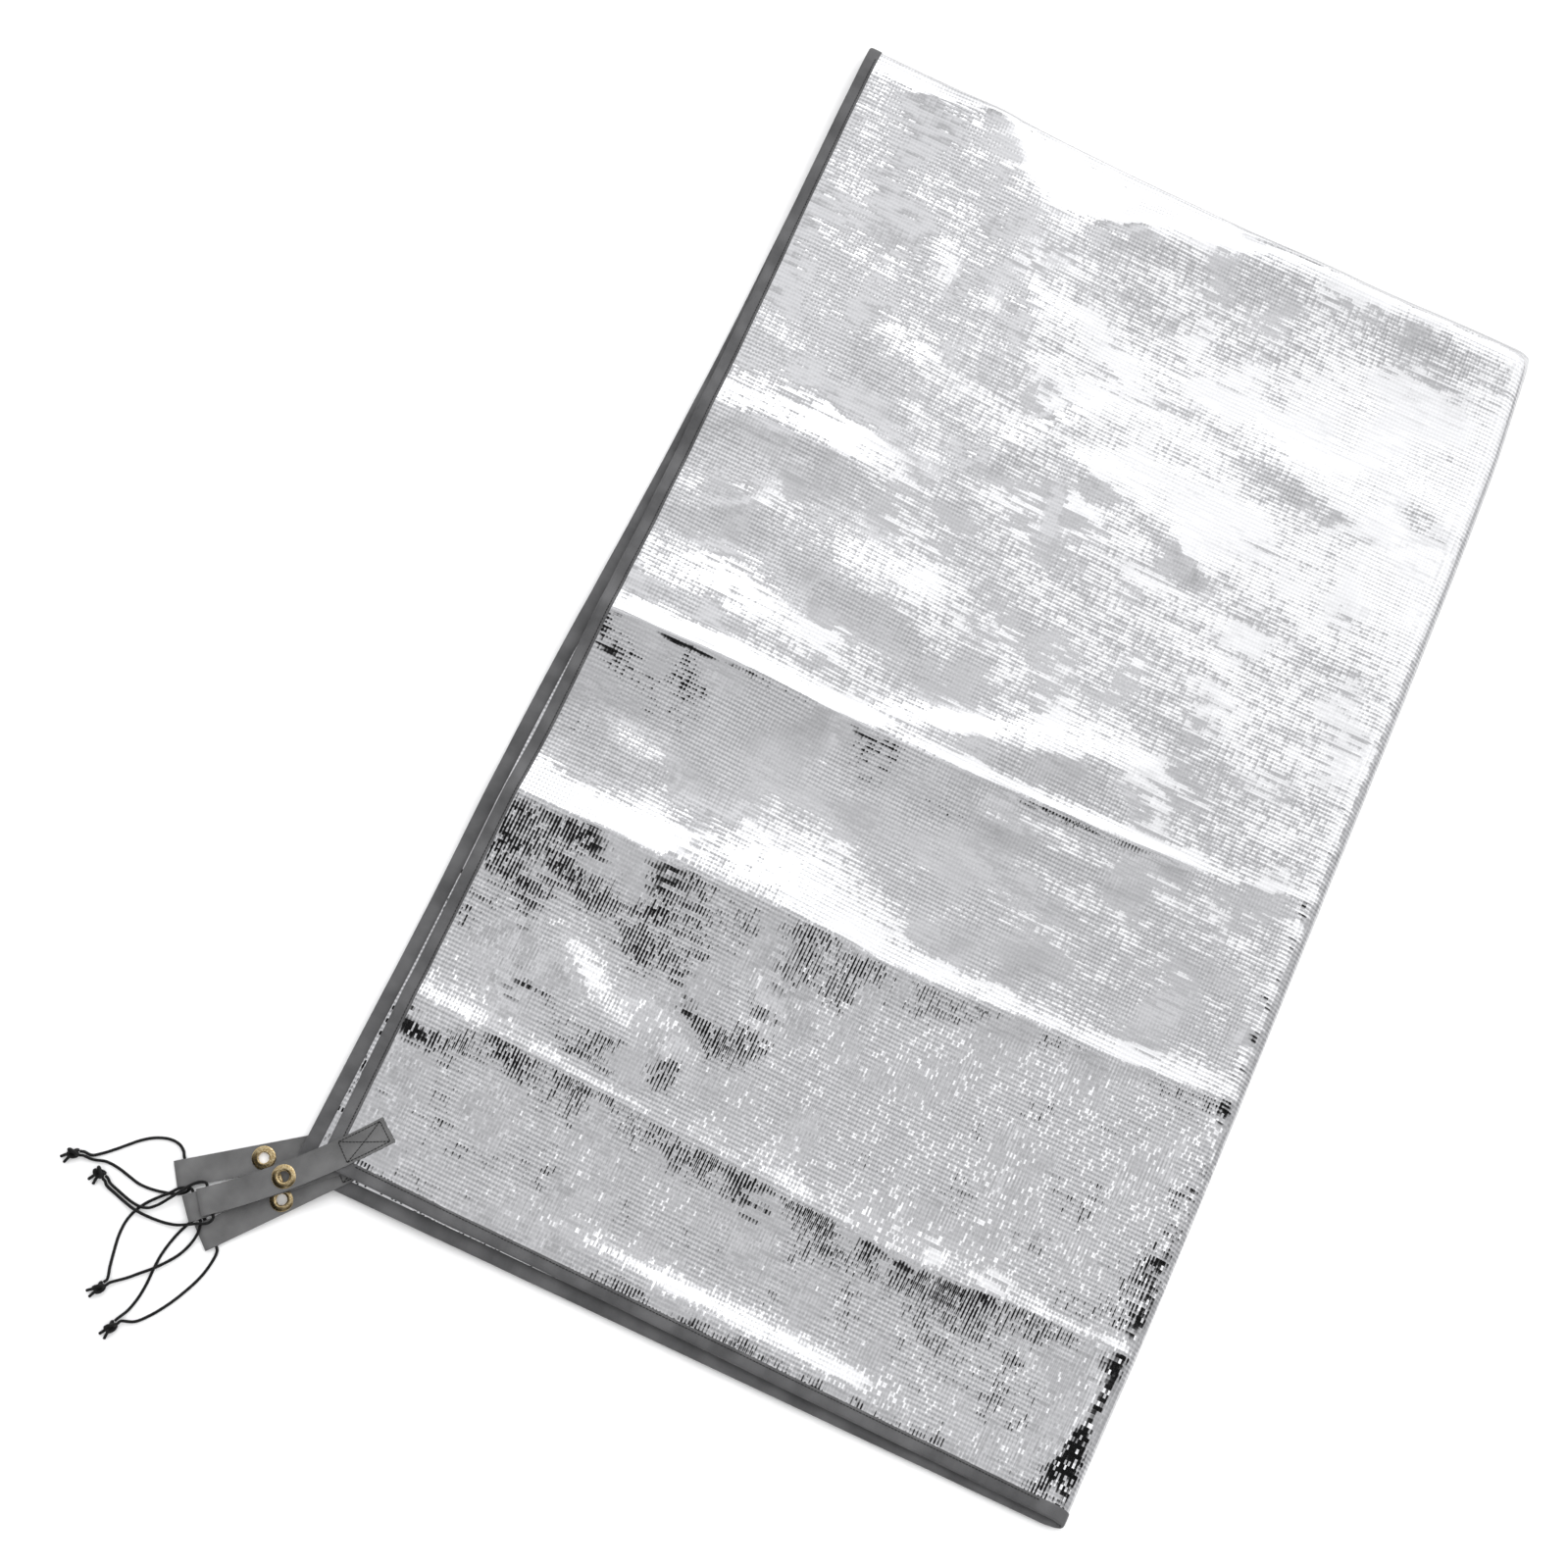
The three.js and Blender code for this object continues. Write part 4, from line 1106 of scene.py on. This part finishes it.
def tab_stitches(number, tab, front_up, material):
    """The sewn box with its cross at the root."""
    side = 1 if front_up else -1
    off = side * (PLY_OFF + PLY / 2)
    lift = Vector((0, 0, side))
    corners = [(BOX_START, -BOX_HALF), (BOX_END, -BOX_HALF), (BOX_END, BOX_HALF), (BOX_START, BOX_HALF)]
    runs = list(zip(corners, corners[1:] + corners[:1]))
    runs += [(corners[0], corners[2]), (corners[1], corners[3])]
    lines = []
    for start, end in runs:
        length = math.dist(start, end)
        lines.append((
            lambda at, start=start, end=end, length=length: tab_point(
                tab, lerp(start[0], end[0], at / length), lerp(start[1], end[1], at / length), off
            ),
            length,
            lift,
        ))
    return make_stitches(f"tab_{number}_stitches", lines, material)


def seam_stitches(material):
    """The seams of the two tapes that lie on top, on the faces that show."""
    over = SEAM_OVER + TAPE / 2
    up = Vector((0, 0, 1))

    def long_seam(at):
        return cloth_point(HALF_WIDTH - SEAM_INSET, -HALF_LENGTH + LONG_SEAM_START + at, over)

    def short_seam(at):
        return cloth_point(HALF_WIDTH - SHORT_SEAM_START - at, -HALF_LENGTH + SEAM_INSET, over)

    lines = [
        (long_seam, HALF_LENGTH - 2 * LONG_SEAM_START, up),
        (short_seam, HALF_WIDTH - 2 * SHORT_SEAM_START, up),
    ]
    return make_stitches("tape_seam_stitches", lines, material)


# Camera: where it stands, its angles round the mat, and its view, in degrees
CAMERA_PLACE = (-97.03, -433.85, 1567.62)
CAMERA_AZIMUTH = -87.865
CAMERA_ELEVATION = 77.733
CAMERA_ROLL = 22.852
CAMERA_FIELD = 41.47


def make_camera():
    azimuth = math.radians(CAMERA_AZIMUTH)
    elevation = math.radians(CAMERA_ELEVATION)
    roll = math.radians(CAMERA_ROLL)
    back = Vector((
        math.cos(elevation) * math.cos(azimuth), math.cos(elevation) * math.sin(azimuth), math.sin(elevation)
    ))
    level = (-back).cross(Vector((0, 0, 1))).normalized()
    upright = level.cross(-back)
    right = level * math.cos(roll) + upright * math.sin(roll)
    up = upright * math.cos(roll) - level * math.sin(roll)
    data = bpy.data.cameras.new("camera")
    data.angle = math.radians(CAMERA_FIELD)
    camera = bpy.data.objects.new("camera", data)
    camera.matrix_world = Matrix((right, up, back)).transposed().to_4x4()
    camera.location = Vector(CAMERA_PLACE) * MM
    bpy.context.collection.objects.link(camera)
    bpy.context.scene.camera = camera


# Round softboxes, all at one distance in metres: the direction of each, its reach round that in degrees, its
# brightness, and whether the foil mirrors it. The one overhead is kept out of the foil, as by a flag
SOFTBOX_DISTANCE = 12
SOFTBOXES = [
    {"name": "right_softbox", "toward": (0.411, 0.704, 0.579), "reach": 33.8, "light": 0.5, "mirrored": True},
    {"name": "far_softbox", "toward": (-0.05, 0.866, 0.5), "reach": 26.6, "light": 0.5, "mirrored": True},
    {
        "name": "overhead_softbox", "toward": (0.03, 0.08, 0.996), "reach": 40, "light": 1.78,
        "mirrored": False,
    },
]


def make_lights():
    for row in SOFTBOXES:
        data = bpy.data.lights.new(row["name"], "AREA")
        data.shape = "DISK"
        data.size = 2 * SOFTBOX_DISTANCE * math.tan(math.radians(row["reach"]))
        data.energy = row["light"] * math.pi * math.pi * data.size**2 / 4
        light = bpy.data.objects.new(row["name"], data)
        toward = Vector(row["toward"]).normalized()
        light.location = toward * SOFTBOX_DISTANCE
        light.rotation_euler = toward.to_track_quat("Z", "Y").to_euler()
        light.visible_glossy = row["mirrored"]
        bpy.context.collection.objects.link(light)


# The studio's grey on the near side and on the far side, and how far over the change between them ends; the
# mottle of its walls; and its dark parts: direction and reach of each, width of its edge in degrees, and level
GREY_STUDIO = 0.65
GREY_FAR = 0.84
FAR_SIDE = 0.6
MOTTLE_SCALE = 9
MOTTLE_LOW = 0.7
MOTTLE_HIGH = 1.25
DARK_PARTS = [((-0.433, -0.618, 0.656), 41), ((0.6, -0.3, 0.74), 24.5)]
DARK_EDGE = 4
DARK_LEVEL = 0.02


def make_world():
    """A mottled grey studio with two dark parts, on the near left and on the right."""
    world = bpy.data.worlds.new("studio")
    bpy.context.scene.world = world
    world.use_nodes = True
    tree = world.node_tree
    direction = add_node(tree, "ShaderNodeTexCoord", output="Generated")
    place = add_node(tree, "ShaderNodeSeparateXYZ", {0: direction}, output=None)
    grey = add_node(
        tree, "ShaderNodeMapRange", {0: place.outputs[1], 1: 0.0, 2: FAR_SIDE, 3: GREY_STUDIO, 4: GREY_FAR}
    )
    uneven = add_node(tree, "ShaderNodeTexNoise", {"Vector": direction, "Scale": MOTTLE_SCALE, "Detail": 2})
    mottle = add_node(
        tree, "ShaderNodeMapRange", {0: uneven, 1: NOISE_LOW, 2: NOISE_HIGH, 3: MOTTLE_LOW, 4: MOTTLE_HIGH}
    )
    level = add_node(tree, "ShaderNodeMath", {0: grey, 1: mottle}, operation="MULTIPLY")
    for axis, reach in DARK_PARTS:
        middle = Vector(axis).normalized()
        toward = add_node(
            tree, "ShaderNodeVectorMath", {0: direction, 1: middle}, output="Value", operation="DOT_PRODUCT"
        )
        outer = math.cos(math.radians(reach))
        inner = math.cos(math.radians(reach - DARK_EDGE))
        lit = add_node(
            tree,
            "ShaderNodeMapRange",
            {0: toward, 1: outer, 2: inner, 3: 1.0, 4: DARK_LEVEL},
            interpolation_type="SMOOTHSTEP",
        )
        level = add_node(tree, "ShaderNodeMath", {0: level, 1: lit}, operation="MULTIPLY")
    background = tree.nodes["Background"]
    background.inputs["Color"].default_value = linear("#fdfdff")
    tree.links.new(level, background.inputs["Strength"])


# The paper that the mat lies on: its size in metres, and how far it is below the mat in millimetres
FLOOR_SIZE = 30
FLOOR_DROP = 0.2


def make_floor():
    deselect()
    bpy.ops.mesh.primitive_plane_add(size=FLOOR_SIZE, location=(0, 0, -FLOOR_DROP * MM))
    floor = bpy.context.object
    floor.name = "floor"
    material, _, shader = new_material("white paper sweep")
    shader.inputs["Base Color"].default_value = linear("#f7f7f7")
    shader.inputs["Roughness"].default_value = 0.9
    floor.data.materials.append(material)


def main():
    foil = metallised_weave()
    tape = woven_polyester("polyester binding tape", "#464647", "#606061", 0.75)
    webbing = woven_polyester("polyester webbing", "#535353", "#6a6a6a", 0.7)
    thread = woven_polyester("polyester sewing thread", "#0a0a0a", "#161616", 0.6)
    brass = stamped_brass()
    braid = braided_elastic()
    rubber = cut_rubber()

    make_camera()
    make_lights()
    make_world()
    make_floor()
    trims = make_tapes(tape)
    for i, (tab, row) in enumerate(zip(TABS, CORDS)):
        number = i + 1
        trims.append(make_tab(number, tab, webbing))
        trims.append(make_eyelet(number, tab, FACE_UP[i], brass))
        trims.append(tab_stitches(number, tab, FACE_UP[i], thread))
        cord, path, length = make_cord(number, row, tab, braid)
        knot = make_knot(number, row["knot"], braid, rubber)
    trims.append(seam_stitches(thread))
    sheet = make_foil_sheet(foil)
    bpy.context.scene.view_settings.view_transform = "Standard"


main()
